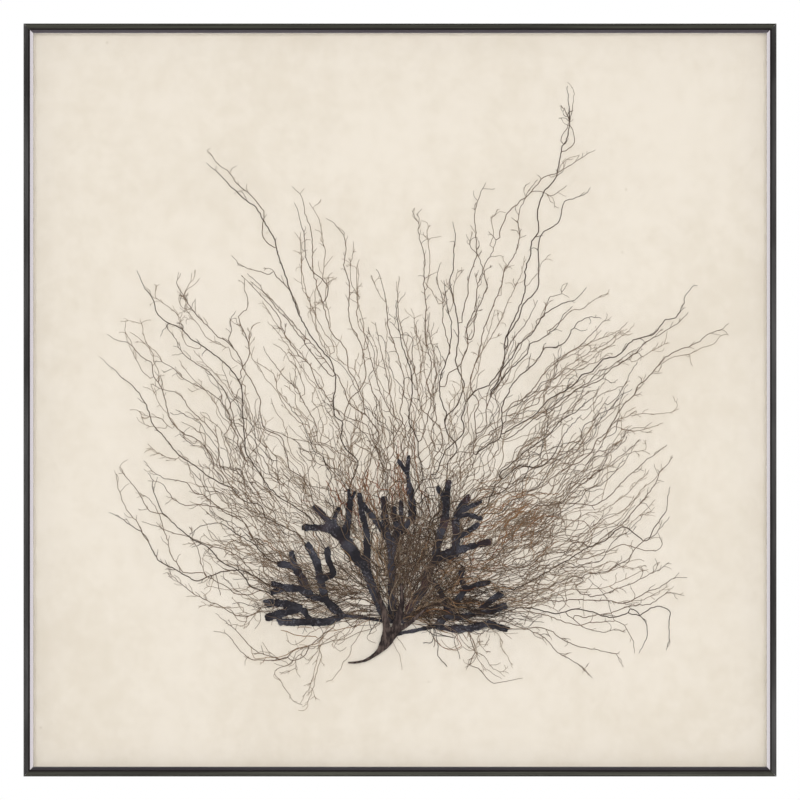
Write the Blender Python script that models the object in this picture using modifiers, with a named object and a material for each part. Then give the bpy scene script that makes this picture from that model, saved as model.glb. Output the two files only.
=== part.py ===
"""Framed pressed sea fan: a slim dark metal frame, a clear pane, a cream sheet and a dried specimen.

Units are metres, +Z up. The origin is the middle of the frame, and the front faces -Y.
A place on the sheet is written as (across, down) in steps of SHEET_STEP, on a square of 800 steps with its
middle at the frame's. A depth is counted from the frame's front face towards the back.
"""

import math

import bmesh
import bpy
from mathutils import Vector

MM = 0.001

# Frame
OUTER_SIDE = 610 * MM
FRAME_DEPTH = 25 * MM
FACE_WIDTH = 5.2 * MM
EASED_EDGE = 0.5 * MM
BEVEL_END = 7.5 * MM
BEVEL_DEPTH = 1.9 * MM
LIP_WIDTH = 7.8 * MM
LIP_EDGE_DEPTH = 2.3 * MM
LIP_BACK = 3.4 * MM
LIP_LEDGE = 1.2 * MM
LIP_ROOT = 5.0 * MM
LIP_THICKNESS = 1.7 * MM
WALL = 1.5 * MM
RIB_FRONT = 19.2 * MM
RIB_BACK = 20.4 * MM
CHANNEL_WIDTH = 8.5 * MM
CHANNEL_LIP_FRONT = 23.8 * MM
CHANNEL_LIP = 1.4 * MM
CHANNEL_WALL = 1.2 * MM
GAP = 0.3 * MM
WELD_DISTANCE = 0.001 * MM

# Pack, from the front
GLAZING_THICKNESS = 2.0 * MM
SPACER_DEPTH = 5.6 * MM
SPACER_WIDTH = 4.5 * MM
PAPER_THICKNESS = 0.6 * MM
BOARD_THICKNESS = 3.0 * MM
PACK_CLEARANCE = 0.4 * MM

GLAZING_FRONT = LIP_BACK + GAP
SPACER_FRONT = GLAZING_FRONT + GLAZING_THICKNESS + GAP
PAPER_FRONT = SPACER_FRONT + SPACER_DEPTH + GAP
BOARD_FRONT = PAPER_FRONT + PAPER_THICKNESS + GAP
BOARD_BACK = BOARD_FRONT + BOARD_THICKNESS
PACK_SIDE = OUTER_SIDE - 2 * (WALL + PACK_CLEARANCE)

# Fixings behind the pack
KEY_LEG = 38 * MM
KEY_THICKNESS = 2.8 * MM
SCREW_PLACE = 27.4 * MM
SCREW_RADIUS = 1.1 * MM
SCREW_RISE = 0.6 * MM
SCREW_SIDES = 8
CLIP_LENGTH = 60 * MM
CLIP_WIDTH = 9 * MM
CLIP_THICKNESS = 0.5 * MM
CLIP_PLACE = 120 * MM
CLIP_ARC_POINTS = 7
HANGER_LENGTH = 52 * MM
HANGER_HEIGHT = 12 * MM
HANGER_PAD = 12 * MM
HANGER_SLOPE = 3 * MM
HANGER_RISE = 2.2 * MM
HANGER_METAL = 1.2 * MM
HANGER_TOOTH = 2.4 * MM
HANGER_TEETH = 9
HANGER_BELOW_TOP = 22 * MM
RIVET_RADIUS = 2.8 * MM
RIVET_TOP_RADIUS = 2.0 * MM
RIVET_HEIGHT = 0.9 * MM
RIVET_SIDES = 12

# Specimen, in layers in front of the sheet
SHEET_STEP = 0.81 * MM
SHEET_MIDDLE = 400
THREAD_THICKNESS = 0.7 * MM
FROND_THICKNESS = 0.7 * MM
STEM_THICKNESS = 1.5 * MM
STEM_EDGE = 0.35 * MM
STEM_EDGE_ANGLE = math.radians(60)
TIP_NOTCH = 0.3
CROTCH_REACH = 0.8

THREAD_FRONT = PAPER_FRONT - GAP - THREAD_THICKNESS
LOW_FROND_FRONT = THREAD_FRONT - GAP - FROND_THICKNESS
HIGH_FROND_FRONT = LOW_FROND_FRONT - GAP - FROND_THICKNESS
STEM_FRONT = HIGH_FROND_FRONT - GAP - STEM_THICKNESS

# Thread-like branches, in steps of the sheet
FAN_CENTRE = (404, 592)
CROWN_RADIUS = 47
CROWN_NOTCH = 40
CROWN_RIPPLE = 2.0
CROWN_RIPPLES = 7
CROWN_POINTS = 60
CROWN_GAP = 0.8
STUB_CLEARANCE = 0.05
THREAD_WIDTH = 1.25
TIP_WIDTH = 0.8
WIDEST_BUNDLE = 4.2
BUNDLE_POWER = 0.45
FORK_RUN = 1.7
LEAST_RUN = 11
THREAD_STEP = 21

# The lean of the whole fan: (angle, steps of radius for a radian of the wave, start of the wave)
SWAY_WAVES = ((0.020, 19, 0), (0.011, 10, 1))

# Tips of the thread-like branches, one list for each main fork of the fan
FAN_TIPS = {
    "fan_low_left": [(334, 683), (302, 707), (274, 674), (262, 643), (213, 632), (216, 612)],
    "fan_left": [
        (198, 592), (168, 568), (108, 513), (186, 528), (114, 475), (147, 473), (150, 446), (129, 408),
    ],
    "fan_upper_left": [
        (107, 365), (150, 382), (106, 334), (126, 322), (139, 316), (181, 355), (136, 270),
        (193, 330), (180, 272), (199, 277), (234, 311), (258, 315), (231, 255),
    ],
    "fan_tall_left": [
        (206, 162), (209, 149), (263, 300), (292, 186), (309, 201), (326, 217), (337, 277), (353, 241),
    ],
    "fan_top": [(376, 269), (399, 276), (418, 212), (427, 290), (440, 263), (454, 221)],
    "fan_tall_right": [
        (486, 183), (498, 209), (500, 262), (569, 86), (576, 93), (596, 149), (591, 187),
    ],
    "fan_right_upper": [
        (567, 284), (587, 287), (603, 295), (602, 318), (590, 350), (627, 322), (694, 285),
        (689, 312), (668, 350),
    ],
    "fan_right": [
        (730, 324), (729, 338), (680, 409), (640, 440), (668, 445), (674, 457), (649, 473),
        (671, 487), (670, 517),
    ],
    "fan_low_right": [
        (646, 560), (673, 563), (687, 579), (685, 597), (645, 612), (667, 651), (637, 654),
        (619, 662), (593, 679), (556, 660), (523, 679), (502, 680), (465, 668),
    ],
}


class Branch:
    """A flat branch from the end of its parent: its route, its two widths and its own forks."""

    def __init__(self, route, start_width, end_width, forks=(), notched=False):
        self.route = [Vector(point) for point in route]
        self.start_width = start_width
        self.end_width = end_width
        self.forks = list(forks)
        self.notched = notched


def blade(width, route, *forks):
    """A length of a dark frond, of even width, whose free end is notched."""
    return Branch(route, width, width, forks, notched=not forks)


# The dark fronds: the place where each starts, and its blades
FRONDS = {
    "frond_low_left": ((380, 621), LOW_FROND_FRONT, blade(
        2.6, [(362, 618), (345, 616.5)],
        blade(6, [(326, 622.5), (311, 622.5)],
              blade(6, [(295, 623), (279, 622.5)]),
              blade(4.5, [(302, 609)],
                    blade(6, [(285, 613), (266, 618.5)]),
                    blade(6, [(284, 604.5), (266, 603.5)]))),
        blade(6, [(334, 609), (325, 600)],
              blade(5.5, [(311, 597)],
                    blade(5.5, [(300, 589.5), (284, 588.5)],
                          blade(4.5, [(271, 593.5)]),
                          blade(4.5, [(272, 584)])),
                    blade(6, [(301, 578), (294, 566)],
                          blade(5.5, [(279, 564.5)]),
                          blade(5, [(291, 553)]))),
              blade(6, [(320, 580)],
                    blade(6, [(316.5, 563), (307, 545)]),
                    blade(4.5, [(333, 574), (328, 560), (327, 549)]))))),
    "frond_upper_left": ((380, 606), HIGH_FROND_FRONT, blade(
        7, [(373, 590), (366, 570)],
        blade(9, [(354, 555), (343, 538)],
              blade(8, [(333, 529)],
                    blade(5, [(319, 528), (304, 528)]),
                    blade(5, [(323, 516), (313, 507)]),
                    blade(3, [(334.5, 517), (339, 508)])),
              blade(5, [(348, 522), (349.5, 504)],
                    blade(2.6, [(348.5, 490)]),
                    blade(2.6, [(355, 492)]))),
        blade(5, [(367, 545), (366, 529)],
              blade(4, [(361.5, 512), (359.5, 495)])))),
    "frond_centre": ((392, 606), LOW_FROND_FRONT, blade(
        6, [(391.5, 575), (391.5, 549)],
        blade(5.5, [(386, 534)],
              blade(4.5, [(374, 519), (362, 504)]),
              blade(5, [(384.5, 516), (384, 498)])),
        blade(6, [(398, 533)],
              blade(3.4, [(394.5, 520), (394.5, 508)]),
              blade(3.6, [(401, 516), (401, 501.5)]),
              blade(5.5, [(411, 520), (412, 505), (409.5, 488)],
                    blade(3, [(407.5, 474)],
                          blade(3.2, [(398.5, 461)]),
                          blade(3, [(408.5, 457)])))))),
    "frond_right": ((423, 590), HIGH_FROND_FRONT, blade(
        6, [(428, 574), (436, 560)],
        blade(6, [(437, 545), (445, 520), (446, 502)],
              blade(3.6, [(438, 488)]),
              blade(4.2, [(449, 481)])),
        blade(8, [(455, 552)],
              blade(4.6, [(471, 547), (491, 542)]),
              blade(5.5, [(456.5, 538)],
                    blade(3.8, [(468, 532), (478.5, 524.5)]),
                    blade(5.5, [(455.5, 518)],
                          blade(3.6, [(468, 515), (481, 519)]),
                          blade(3.8, [(470, 507), (481, 501.5)]),
                          blade(5, [(462, 506), (469, 497)])))))),
    "frond_low_right": ((400, 634), LOW_FROND_FRONT, blade(
        3, [(416, 631), (434, 627)],
        blade(5.5, [(452, 629.5), (471, 629), (487, 624)],
              blade(5.5, [(507, 630)])),
        blade(5, [(448, 617)],
              blade(5, [(464, 617), (479, 612)],
                    blade(5.5, [(493, 611), (506, 606)]),
                    blade(5, [(490, 602), (502, 594)])),
              blade(4.5, [(456, 603), (466, 590)],
                    blade(4, [(478, 585), (489, 583)]),
                    blade(4, [(461, 578), (463, 568)])),
              blade(4, [(444, 601), (438, 588), (432, 582)])))),
}

STEM_START = (348, 663.2)
STEM = Branch(
    [(356, 663), (365, 661), (373, 656.5), (380, 650.5), (386, 642), (391, 631)], 1.8, 12,
    [
        Branch([(387, 617), (386, 604)], 7, 4),
        Branch([(399, 615), (401, 601)], 7, 5),
        Branch([(405, 626), (413, 621)], 5, 3),
    ],
)

# Colours (red, green, blue, alpha), roughness and metallic value of each kind of piece
FINISHES = {
    "dark_metal": ((0.045, 0.042, 0.045, 1), 0.28, 0.9),
    "clear_pane": ((0.95, 0.96, 0.96, 0.12), 0.05, 0.0),
    "cream_paper": ((0.83, 0.78, 0.68, 1), 0.9, 0.0),
    "spacer_board": ((0.85, 0.82, 0.74, 1), 0.85, 0.0),
    "backing_board": ((0.30, 0.20, 0.12, 1), 0.8, 0.0),
    "zinc_steel": ((0.55, 0.55, 0.56, 1), 0.35, 1.0),
    "spring_steel": ((0.35, 0.36, 0.38, 1), 0.3, 1.0),
    "dark_frond": ((0.02, 0.017, 0.025, 1), 0.6, 0.0),
    "brown_stem": ((0.06, 0.045, 0.035, 1), 0.7, 0.0),
    "brown_thread": ((0.19, 0.15, 0.11, 1), 0.75, 0.0),
}


def clear_scene():
    """Remove every object that the scene holds."""
    for item in list(bpy.data.objects):
        bpy.data.objects.remove(item, do_unlink=True)


def new_collection(name):
    """Make a collection in the scene."""
    collection = bpy.data.collections.new(name)
    bpy.context.scene.collection.children.link(collection)
    return collection


def new_material(node_name, finish):
    """Make one node's own material."""
    colour, roughness, metallic = FINISHES[finish]
    material = bpy.data.materials.new(node_name + "_" + finish)
    material.use_nodes = True
    shader = material.node_tree.nodes["Principled BSDF"]
    shader.inputs["Base Color"].default_value = colour
    shader.inputs["Roughness"].default_value = roughness
    shader.inputs["Metallic"].default_value = metallic
    return material


def back(depth):
    """The Y of a depth counted from the frame's front face."""
    return depth - FRAME_DEPTH / 2


def add_object(name, data, finish, collection):
    """Put a piece's data in the scene as one named node with its own material."""
    item = bpy.data.objects.new(name, data)
    collection.objects.link(item)
    item.data.materials.clear()
    item.data.materials.append(new_material(name, finish))
    return item


def outline_curve(name, points, thickness):
    """A flat outline, filled on both sides and given its thickness along the curve's own Z."""
    curve = bpy.data.curves.new(name, "CURVE")
    curve.dimensions = "2D"
    curve.fill_mode = "BOTH"
    curve.extrude = thickness / 2
    spline = curve.splines.new("POLY")
    spline.points.add(len(points) - 1)
    for point, (across, up) in zip(spline.points, points):
        point.co = (across, up, 0, 1)
    spline.use_cyclic_u = True
    return curve


def outline_mesh(name, points, thickness):
    """The same flat outline as a closed mesh with its caps welded."""
    holder = bpy.data.objects.new(name, outline_curve(name, points, thickness))
    bpy.context.scene.collection.objects.link(holder)
    evaluated = holder.evaluated_get(bpy.context.evaluated_depsgraph_get())
    mesh = bpy.data.meshes.new_from_object(evaluated)
    mesh.name = name
    bpy.data.objects.remove(holder, do_unlink=True)
    cage = bmesh.new()
    cage.from_mesh(mesh)
    bmesh.ops.remove_doubles(cage, verts=cage.verts, dist=WELD_DISTANCE)
    bmesh.ops.recalc_face_normals(cage, faces=cage.faces)
    cage.to_mesh(mesh)
    cage.free()
    return mesh


def box_mesh(name, size):
    """A box of this size about its own middle."""
    mesh = bpy.data.meshes.new(name)
    cage = bmesh.new()
    bmesh.ops.create_cube(cage, size=1)
    bmesh.ops.scale(cage, vec=size, verts=cage.verts)
    cage.to_mesh(mesh)
    cage.free()
    return mesh


def cone_mesh(name, sides, bottom_radius, top_radius, depth):
    """A cylinder or a cut cone along Z, about its own middle."""
    mesh = bpy.data.meshes.new(name)
    cage = bmesh.new()
    bmesh.ops.create_cone(
        cage, cap_ends=True, segments=sides, radius1=bottom_radius, radius2=top_radius, depth=depth
    )
    cage.to_mesh(mesh)
    cage.free()
    return mesh


def add_box(name, size, centre, finish, collection):
    """A box node."""
    item = add_object(name, box_mesh(name, size), finish, collection)
    item.location = centre
    return item


def upright(item, depth_middle):
    """Stand a flat outline up, so that its own X and Y run along the frame's X and Z."""
    item.rotation_euler = (math.pi / 2, 0, 0)
    item.location.y = back(depth_middle)


def add_modifier_boolean(item, cutter, operation):
    """Join a helper to a piece, or cut it away."""
    modifier = item.modifiers.new(operation.lower(), "BOOLEAN")
    modifier.operation = operation
    modifier.object = cutter


def hide_helper(item):
    """Keep a cutter or another helper out of renders."""
    item.hide_render = True
    item.display_type = "WIRE"


def rail_section():
    """The rail's section as (inwards from the outer side, back from the front face) points."""
    channel_inside = CHANNEL_WIDTH - CHANNEL_WALL
    return [
        (0, EASED_EDGE),
        (EASED_EDGE, 0),
        (FACE_WIDTH, 0),
        (BEVEL_END, BEVEL_DEPTH),
        (LIP_WIDTH, LIP_EDGE_DEPTH),
        (LIP_WIDTH, LIP_BACK),
        (LIP_WIDTH - LIP_LEDGE, LIP_BACK),
        (LIP_ROOT, LIP_THICKNESS),
        (WALL, LIP_THICKNESS),
        (WALL, RIB_FRONT),
        (CHANNEL_WIDTH, RIB_FRONT),
        (CHANNEL_WIDTH, FRAME_DEPTH),
        (channel_inside - CHANNEL_LIP, FRAME_DEPTH),
        (channel_inside - CHANNEL_LIP, CHANNEL_LIP_FRONT),
        (channel_inside, CHANNEL_LIP_FRONT),
        (channel_inside, RIB_BACK),
        (WALL, RIB_BACK),
        (WALL, CHANNEL_LIP_FRONT),
        (WALL + CHANNEL_LIP, CHANNEL_LIP_FRONT),
        (WALL + CHANNEL_LIP, FRAME_DEPTH),
        (0, FRAME_DEPTH),
    ]


def make_rails(collection):
    """Four lengths of one section with their ends cut to a mitre, turned about the frame's middle."""
    half_side = OUTER_SIDE / 2
    mesh = outline_mesh("rail", rail_section(), OUTER_SIDE)
    mitre_gap = GAP / 2 * math.sqrt(2)
    for vertex in mesh.vertices:
        inwards, depth, end = vertex.co
        along = math.copysign(half_side - inwards - mitre_gap, end)
        vertex.co = (along, back(depth), half_side - inwards)
    cage = bmesh.new()
    cage.from_mesh(mesh)
    bmesh.ops.recalc_face_normals(cage, faces=cage.faces)
    cage.to_mesh(mesh)
    cage.free()
    for turn, side in enumerate(("top", "right", "bottom", "left")):
        rail = add_object("rail_" + side, mesh.copy(), "dark_metal", collection)
        rail.rotation_euler = (0, turn * math.pi / 2, 0)


def make_pack(collection):
    """The pane, the spacer bars behind the lip, the sheet and its backing board."""
    sheets = (
        ("glazing", GLAZING_FRONT, GLAZING_THICKNESS, "clear_pane"),
        ("paper_sheet", PAPER_FRONT, PAPER_THICKNESS, "cream_paper"),
        ("backing_board", BOARD_FRONT, BOARD_THICKNESS, "backing_board"),
    )
    for name, front, thickness, finish in sheets:
        middle = back(front + thickness / 2)
        add_box(name, (PACK_SIDE, thickness, PACK_SIDE), (0, middle, 0), finish, collection)
    bar_place = PACK_SIDE / 2 - SPACER_WIDTH / 2
    bar_middle = back(SPACER_FRONT + SPACER_DEPTH / 2)
    short_bar = PACK_SIDE - 2 * SPACER_WIDTH - 2 * GAP
    for side, direction in (("top", 1), ("bottom", -1)):
        size = (PACK_SIDE, SPACER_DEPTH, SPACER_WIDTH)
        place = (0, bar_middle, direction * bar_place)
        add_box("spacer_" + side, size, place, "spacer_board", collection)
    for side, direction in (("right", 1), ("left", -1)):
        size = (SPACER_WIDTH, SPACER_DEPTH, short_bar)
        place = (direction * bar_place, bar_middle, 0)
        add_box("spacer_" + side, size, place, "spacer_board", collection)


def make_corner_keys(collection, helpers):
    """L keys in the rails' rear channel, each with two set screws joined to it."""
    outer = OUTER_SIDE / 2 - WALL - GAP
    inner = OUTER_SIDE / 2 - CHANNEL_WIDTH + CHANNEL_WALL + GAP
    leg_end = OUTER_SIDE / 2 - KEY_LEG
    outline = [
        (leg_end, outer),
        (outer, outer),
        (outer, leg_end),
        (inner, leg_end),
        (inner, inner),
        (leg_end, inner),
    ]
    key_front = RIB_BACK + GAP
    screw_place = OUTER_SIDE / 2 - SCREW_PLACE
    screw_line = OUTER_SIDE / 2 - (WALL + CHANNEL_WIDTH - CHANNEL_WALL) / 2
    screw_length = KEY_THICKNESS / 2 + SCREW_RISE
    for corner in range(4):
        name = "corner_key_" + str(corner + 1)
        key = add_object(name, outline_mesh(name, outline, KEY_THICKNESS), "zinc_steel", collection)
        key.rotation_euler = (math.pi / 2, corner * math.pi / 2, 0)
        key.location.y = back(key_front + KEY_THICKNESS / 2)
        for number, place in enumerate(((screw_place, screw_line), (screw_line, screw_place))):
            screw_mesh = cone_mesh("set_screw", SCREW_SIDES, SCREW_RADIUS, SCREW_RADIUS, screw_length)
            for vertex in screw_mesh.vertices:
                vertex.co += Vector((place[0], place[1], -screw_length / 2))
            screw = bpy.data.objects.new(name + "_screw_" + str(number + 1), screw_mesh)
            helpers.objects.link(screw)
            screw.rotation_euler = key.rotation_euler
            screw.location = key.location
            hide_helper(screw)
            add_modifier_boolean(key, screw, "UNION")


def clip_outline():
    """The side view of an arched leaf spring, between the board and the rib."""
    rise = RIB_FRONT - BOARD_BACK - 2 * GAP - CLIP_THICKNESS
    half_length = CLIP_LENGTH / 2
    lower = []
    for number in range(CLIP_ARC_POINTS):
        share = number / (CLIP_ARC_POINTS - 1) * 2 - 1
        lower.append((share * half_length, rise * math.cos(share * math.pi / 2)))
    upper = [(across, up + CLIP_THICKNESS) for across, up in reversed(lower)]
    return lower + upper


def make_spring_clips(collection):
    """Two leaf springs to a side, wedged between the backing board and the rails' rib."""
    reach = OUTER_SIDE / 2 - WALL - PACK_CLEARANCE - CLIP_WIDTH / 2
    number = 0
    for side in range(4):
        for place in (-CLIP_PLACE, CLIP_PLACE):
            number += 1
            name = "spring_clip_" + str(number)
            mesh = outline_mesh(name, clip_outline(), CLIP_WIDTH)
            for vertex in mesh.vertices:
                along, rise, across = vertex.co
                vertex.co = (along + place, back(BOARD_BACK + GAP) + rise, reach + across)
            clip = add_object(name, mesh, "spring_steel", collection)
            clip.rotation_euler = (0, side * math.pi / 2, 0)


def make_hanger(collection, helpers):
    """A stepped strip with a toothed lower edge, and a rivet head joined to each of its end pads."""
    half = HANGER_LENGTH / 2
    pad_end = half - HANGER_PAD
    bridge = pad_end - HANGER_SLOPE
    lower = [
        (-half, 0),
        (-pad_end, 0),
        (-bridge, HANGER_RISE),
        (bridge, HANGER_RISE),
        (pad_end, 0),
        (half, 0),
    ]
    upper = [(across, up + HANGER_METAL) for across, up in reversed(lower)]
    mesh = outline_mesh("hanger_plate", lower + upper, HANGER_HEIGHT)
    front = back(BOARD_BACK + GAP)
    height = OUTER_SIDE / 2 - HANGER_BELOW_TOP
    for vertex in mesh.vertices:
        across, rise, up = vertex.co
        vertex.co = (across, front + rise, height + up)
    plate = add_object("hanger_plate", mesh, "zinc_steel", collection)

    pitch = 2 * bridge / HANGER_TEETH
    edge = -HANGER_HEIGHT / 2
    teeth = [(-bridge, edge - HANGER_TOOTH)]
    for number in range(HANGER_TEETH):
        middle = -bridge + (number + 0.5) * pitch
        teeth.append((middle - pitch / 2, edge - HANGER_TOOTH / 4))
        teeth.append((middle, edge + HANGER_TOOTH))
    teeth.append((bridge, edge - HANGER_TOOTH / 4))
    teeth.append((bridge, edge - HANGER_TOOTH))
    cutter = bpy.data.objects.new("tooth_cutter", outline_mesh("tooth_cutter", teeth, 4 * HANGER_RISE))
    helpers.objects.link(cutter)
    cutter.rotation_euler = (math.pi / 2, 0, 0)
    cutter.location = (0, front + HANGER_RISE, height)
    hide_helper(cutter)
    add_modifier_boolean(plate, cutter, "DIFFERENCE")

    for direction in (-1, 1):
        rivet_mesh = cone_mesh("rivet", RIVET_SIDES, RIVET_RADIUS, RIVET_TOP_RADIUS, RIVET_HEIGHT * 2)
        rivet = bpy.data.objects.new("rivet_head", rivet_mesh)
        helpers.objects.link(rivet)
        rivet.rotation_euler = (-math.pi / 2, 0, 0)
        rivet.location = (direction * (half - HANGER_PAD / 2), front + HANGER_METAL, height)
        hide_helper(rivet)
        add_modifier_boolean(plate, rivet, "UNION")


def to_left(heading):
    """The unit vector to the left of a heading, on the sheet with down counted positive."""
    return Vector((heading.y, -heading.x))


def tip_points(end, heading, branch):
    """The free end of a branch: cut square, and notched on a frond's blade."""
    across = to_left(heading) * branch.end_width / 2
    if not branch.notched:
        return [end - across, end + across]
    notch = end - heading * branch.end_width * TIP_NOTCH
    return [end - across, notch, end + across]


def branch_contour(branch, start):
    """Points round a branch and all its forks: out along its right side and back along its left."""
    route = [start] + branch.route
    lengths = [(b - a).length for a, b in zip(route, route[1:])]
    total = sum(lengths)
    right = []
    left = []
    walked = 0
    for number in range(1, len(route) - 1):
        walked += lengths[number - 1]
        share = walked / total
        width = branch.start_width + (branch.end_width - branch.start_width) * share
        arriving = (route[number] - route[number - 1]).normalized()
        leaving = (route[number + 1] - route[number]).normalized()
        across = to_left((arriving + leaving).normalized()) * width / 2
        right.append(route[number] - across)
        left.append(route[number] + across)
    end = route[-1]
    heading = (end - route[-2]).normalized()
    if not branch.forks:
        return right + tip_points(end, heading, branch) + left[::-1]

    # A fork's own contour runs between the two shoulders, with a crotch point between neighbours.
    forks = sorted(branch.forks, key=lambda fork: heading.angle_signed(fork.route[0] - end))
    headings = [(fork.route[0] - end).normalized() for fork in forks]
    half = branch.end_width / 2
    around = [end - to_left((heading + headings[0]).normalized()) * half]
    for number, fork in enumerate(forks):
        if number:
            opening = headings[number - 1].angle(headings[number]) / 2
            widest = max(forks[number - 1].start_width, fork.start_width) / 2
            first_lengths = [(forks[n].route[0] - end).length for n in (number - 1, number)]
            reach = min(widest / math.sin(opening), CROTCH_REACH * min(first_lengths))
            around.append(end + (headings[number - 1] + headings[number]).normalized() * reach)
        around += branch_contour(fork, end)
    around.append(end + to_left((heading + headings[-1]).normalized()) * half)
    return right + around + left[::-1]


def full_contour(branch, start):
    """The closed outline of a branch that starts with a square cut."""
    start = Vector(start)
    across = to_left((branch.route[0] - start).normalized()) * branch.start_width / 2
    return [start - across] + branch_contour(branch, start) + [start + across]


def on_sheet(points):
    """Places in sheet steps as (X, Z) in metres."""
    places = []
    for across, down in points:
        places.append(((across - SHEET_MIDDLE) * SHEET_STEP, (SHEET_MIDDLE - down) * SHEET_STEP))
    return places


def sway(radius):
    """How far the whole fan leans at a radius, so that its branches wander side by side."""
    return sum(lean * math.sin(radius / run + start) for lean, run, start in SWAY_WAVES)


def fan_place(radius, angle):
    """The place on the sheet at a radius from the fan's centre and an angle clockwise from straight up."""
    turned = angle + sway(radius)
    return (FAN_CENTRE[0] + radius * math.sin(turned), FAN_CENTRE[1] - radius * math.cos(turned))


def fan_polar(tip):
    """The (angle, radius) that fan_place takes to a tip."""
    across = tip[0] - FAN_CENTRE[0]
    up = FAN_CENTRE[1] - tip[1]
    radius = math.hypot(across, up)
    return (math.atan2(across, up) - sway(radius), radius)


def bundle_width(tips):
    """The width of a branch that carries this many tips."""
    return min(THREAD_WIDTH * len(tips) ** BUNDLE_POWER, WIDEST_BUNDLE)


def widest_gap(tips):
    """The place in a list of tips, sorted by angle, where their angles stand furthest apart."""
    gaps = [after[0] - before[0] for before, after in zip(tips, tips[1:])]
    return gaps.index(max(gaps)) + 1


def fork_angle(tips):
    """The angle half way across the widest gap between tips."""
    split = widest_gap(tips)
    return (tips[split - 1][0] + tips[split][0]) / 2


def grow(tips, radius, angle):
    """The branch that carries these tips, from a radius and an angle, forked at their widest gap."""
    if len(tips) == 1:
        goal_angle, goal_radius = tips[0]
        forks = []
        end_width = TIP_WIDTH
    else:
        split = widest_gap(tips)
        goal_angle = fork_angle(tips)
        groups = (tips[:split], tips[split:])
        middles = [sum(tip[0] for tip in group) / len(group) for group in groups]
        nearest = min(tip[1] for tip in tips)
        goal_radius = nearest * (1 - FORK_RUN * (middles[1] - middles[0]))
        goal_radius = max(min(goal_radius, nearest - LEAST_RUN), radius + LEAST_RUN)
        forks = [grow(group, goal_radius, goal_angle) for group in groups]
        end_width = bundle_width(tips)
    steps = max(1, round((goal_radius - radius) / THREAD_STEP))
    route = []
    for number in range(1, steps + 1):
        share = number / steps
        step_radius = radius + (goal_radius - radius) * share
        route.append(fan_place(step_radius, angle + (goal_angle - angle) * share))
    return Branch(route, bundle_width(tips), end_width, forks)


def make_threads(collection):
    """The crown and the fan's main forks, side by side in one layer on the sheet."""
    stubs = []
    thickness_middle = THREAD_FRONT + THREAD_THICKNESS / 2
    for name, places in FAN_TIPS.items():
        tips = sorted(fan_polar(place) for place in places)
        angle = fork_angle(tips)
        root = CROWN_RADIUS + CROWN_GAP
        branch = grow(tips, root, angle)
        outline = on_sheet(full_contour(branch, fan_place(root, angle)))
        curve = outline_curve(name, outline, THREAD_THICKNESS)
        item = add_object(name, curve, "brown_thread", collection)
        upright(item, thickness_middle)
        stubs.append((angle, bundle_width(tips) / 2 / CROWN_RADIUS))

    # The crown reaches out to meet the root of each fork, and stays back between them.
    crown = []
    for number in range(CROWN_POINTS):
        angle = 2 * math.pi * number / CROWN_POINTS - math.pi
        clear = all(abs(angle - stub) > half + STUB_CLEARANCE for stub, half in stubs)
        if clear:
            crown.append((angle, CROWN_NOTCH + CROWN_RIPPLE * math.sin(CROWN_RIPPLES * angle)))
    for stub, half in stubs:
        crown += [(stub - half, CROWN_RADIUS), (stub + half, CROWN_RADIUS)]
    crown_outline = on_sheet([fan_place(radius, angle) for angle, radius in sorted(crown)])
    curve = outline_curve("fan_crown", crown_outline, THREAD_THICKNESS)
    item = add_object("fan_crown", curve, "brown_thread", collection)
    upright(item, thickness_middle)


def make_fronds(collection):
    """The dark flat blades, in two layers over the threads."""
    for name, (start, front, branch) in FRONDS.items():
        outline = on_sheet(full_contour(branch, start))
        curve = outline_curve(name, outline, FROND_THICKNESS)
        item = add_object(name, curve, "dark_frond", collection)
        upright(item, front + FROND_THICKNESS / 2)


def make_stem(collection):
    """The curved tail and the wedge that it widens to, with eased edges."""
    outline = on_sheet(full_contour(STEM, STEM_START))
    item = add_object("stem", outline_mesh("stem", outline, STEM_THICKNESS), "brown_stem", collection)
    upright(item, STEM_FRONT + STEM_THICKNESS / 2)
    edge = item.modifiers.new("eased_edges", "BEVEL")
    edge.width = STEM_EDGE
    edge.segments = 1
    edge.limit_method = "ANGLE"
    edge.angle_limit = STEM_EDGE_ANGLE


def main():
    """Build every piece of the framed specimen."""
    clear_scene()
    parts = new_collection("framed_sea_fan")
    helpers = new_collection("cutters_and_helpers")
    make_rails(parts)
    make_pack(parts)
    make_corner_keys(parts, helpers)
    make_spring_clips(parts)
    make_hanger(parts, helpers)
    make_stem(parts)
    make_fronds(parts)
    make_threads(parts)


main()
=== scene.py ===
"""A dried sea fan pressed on a cream sheet, in a slim dark metal wall frame with a clear pane.

A place on the sheet is a pair of numbers (across, down) on a square of 800 steps that shares its middle with
the frame, as in the photograph. Heights are counted forwards from the front of the sheet. Widths and lengths
on the sheet are in steps, colours are linear, and all other sizes are in metres.
"""

import logging
import math
from collections.abc import Iterator, Sequence
from dataclasses import dataclass, field
from enum import Enum

import bmesh
import bpy
import numpy as np
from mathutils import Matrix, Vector, noise


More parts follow.
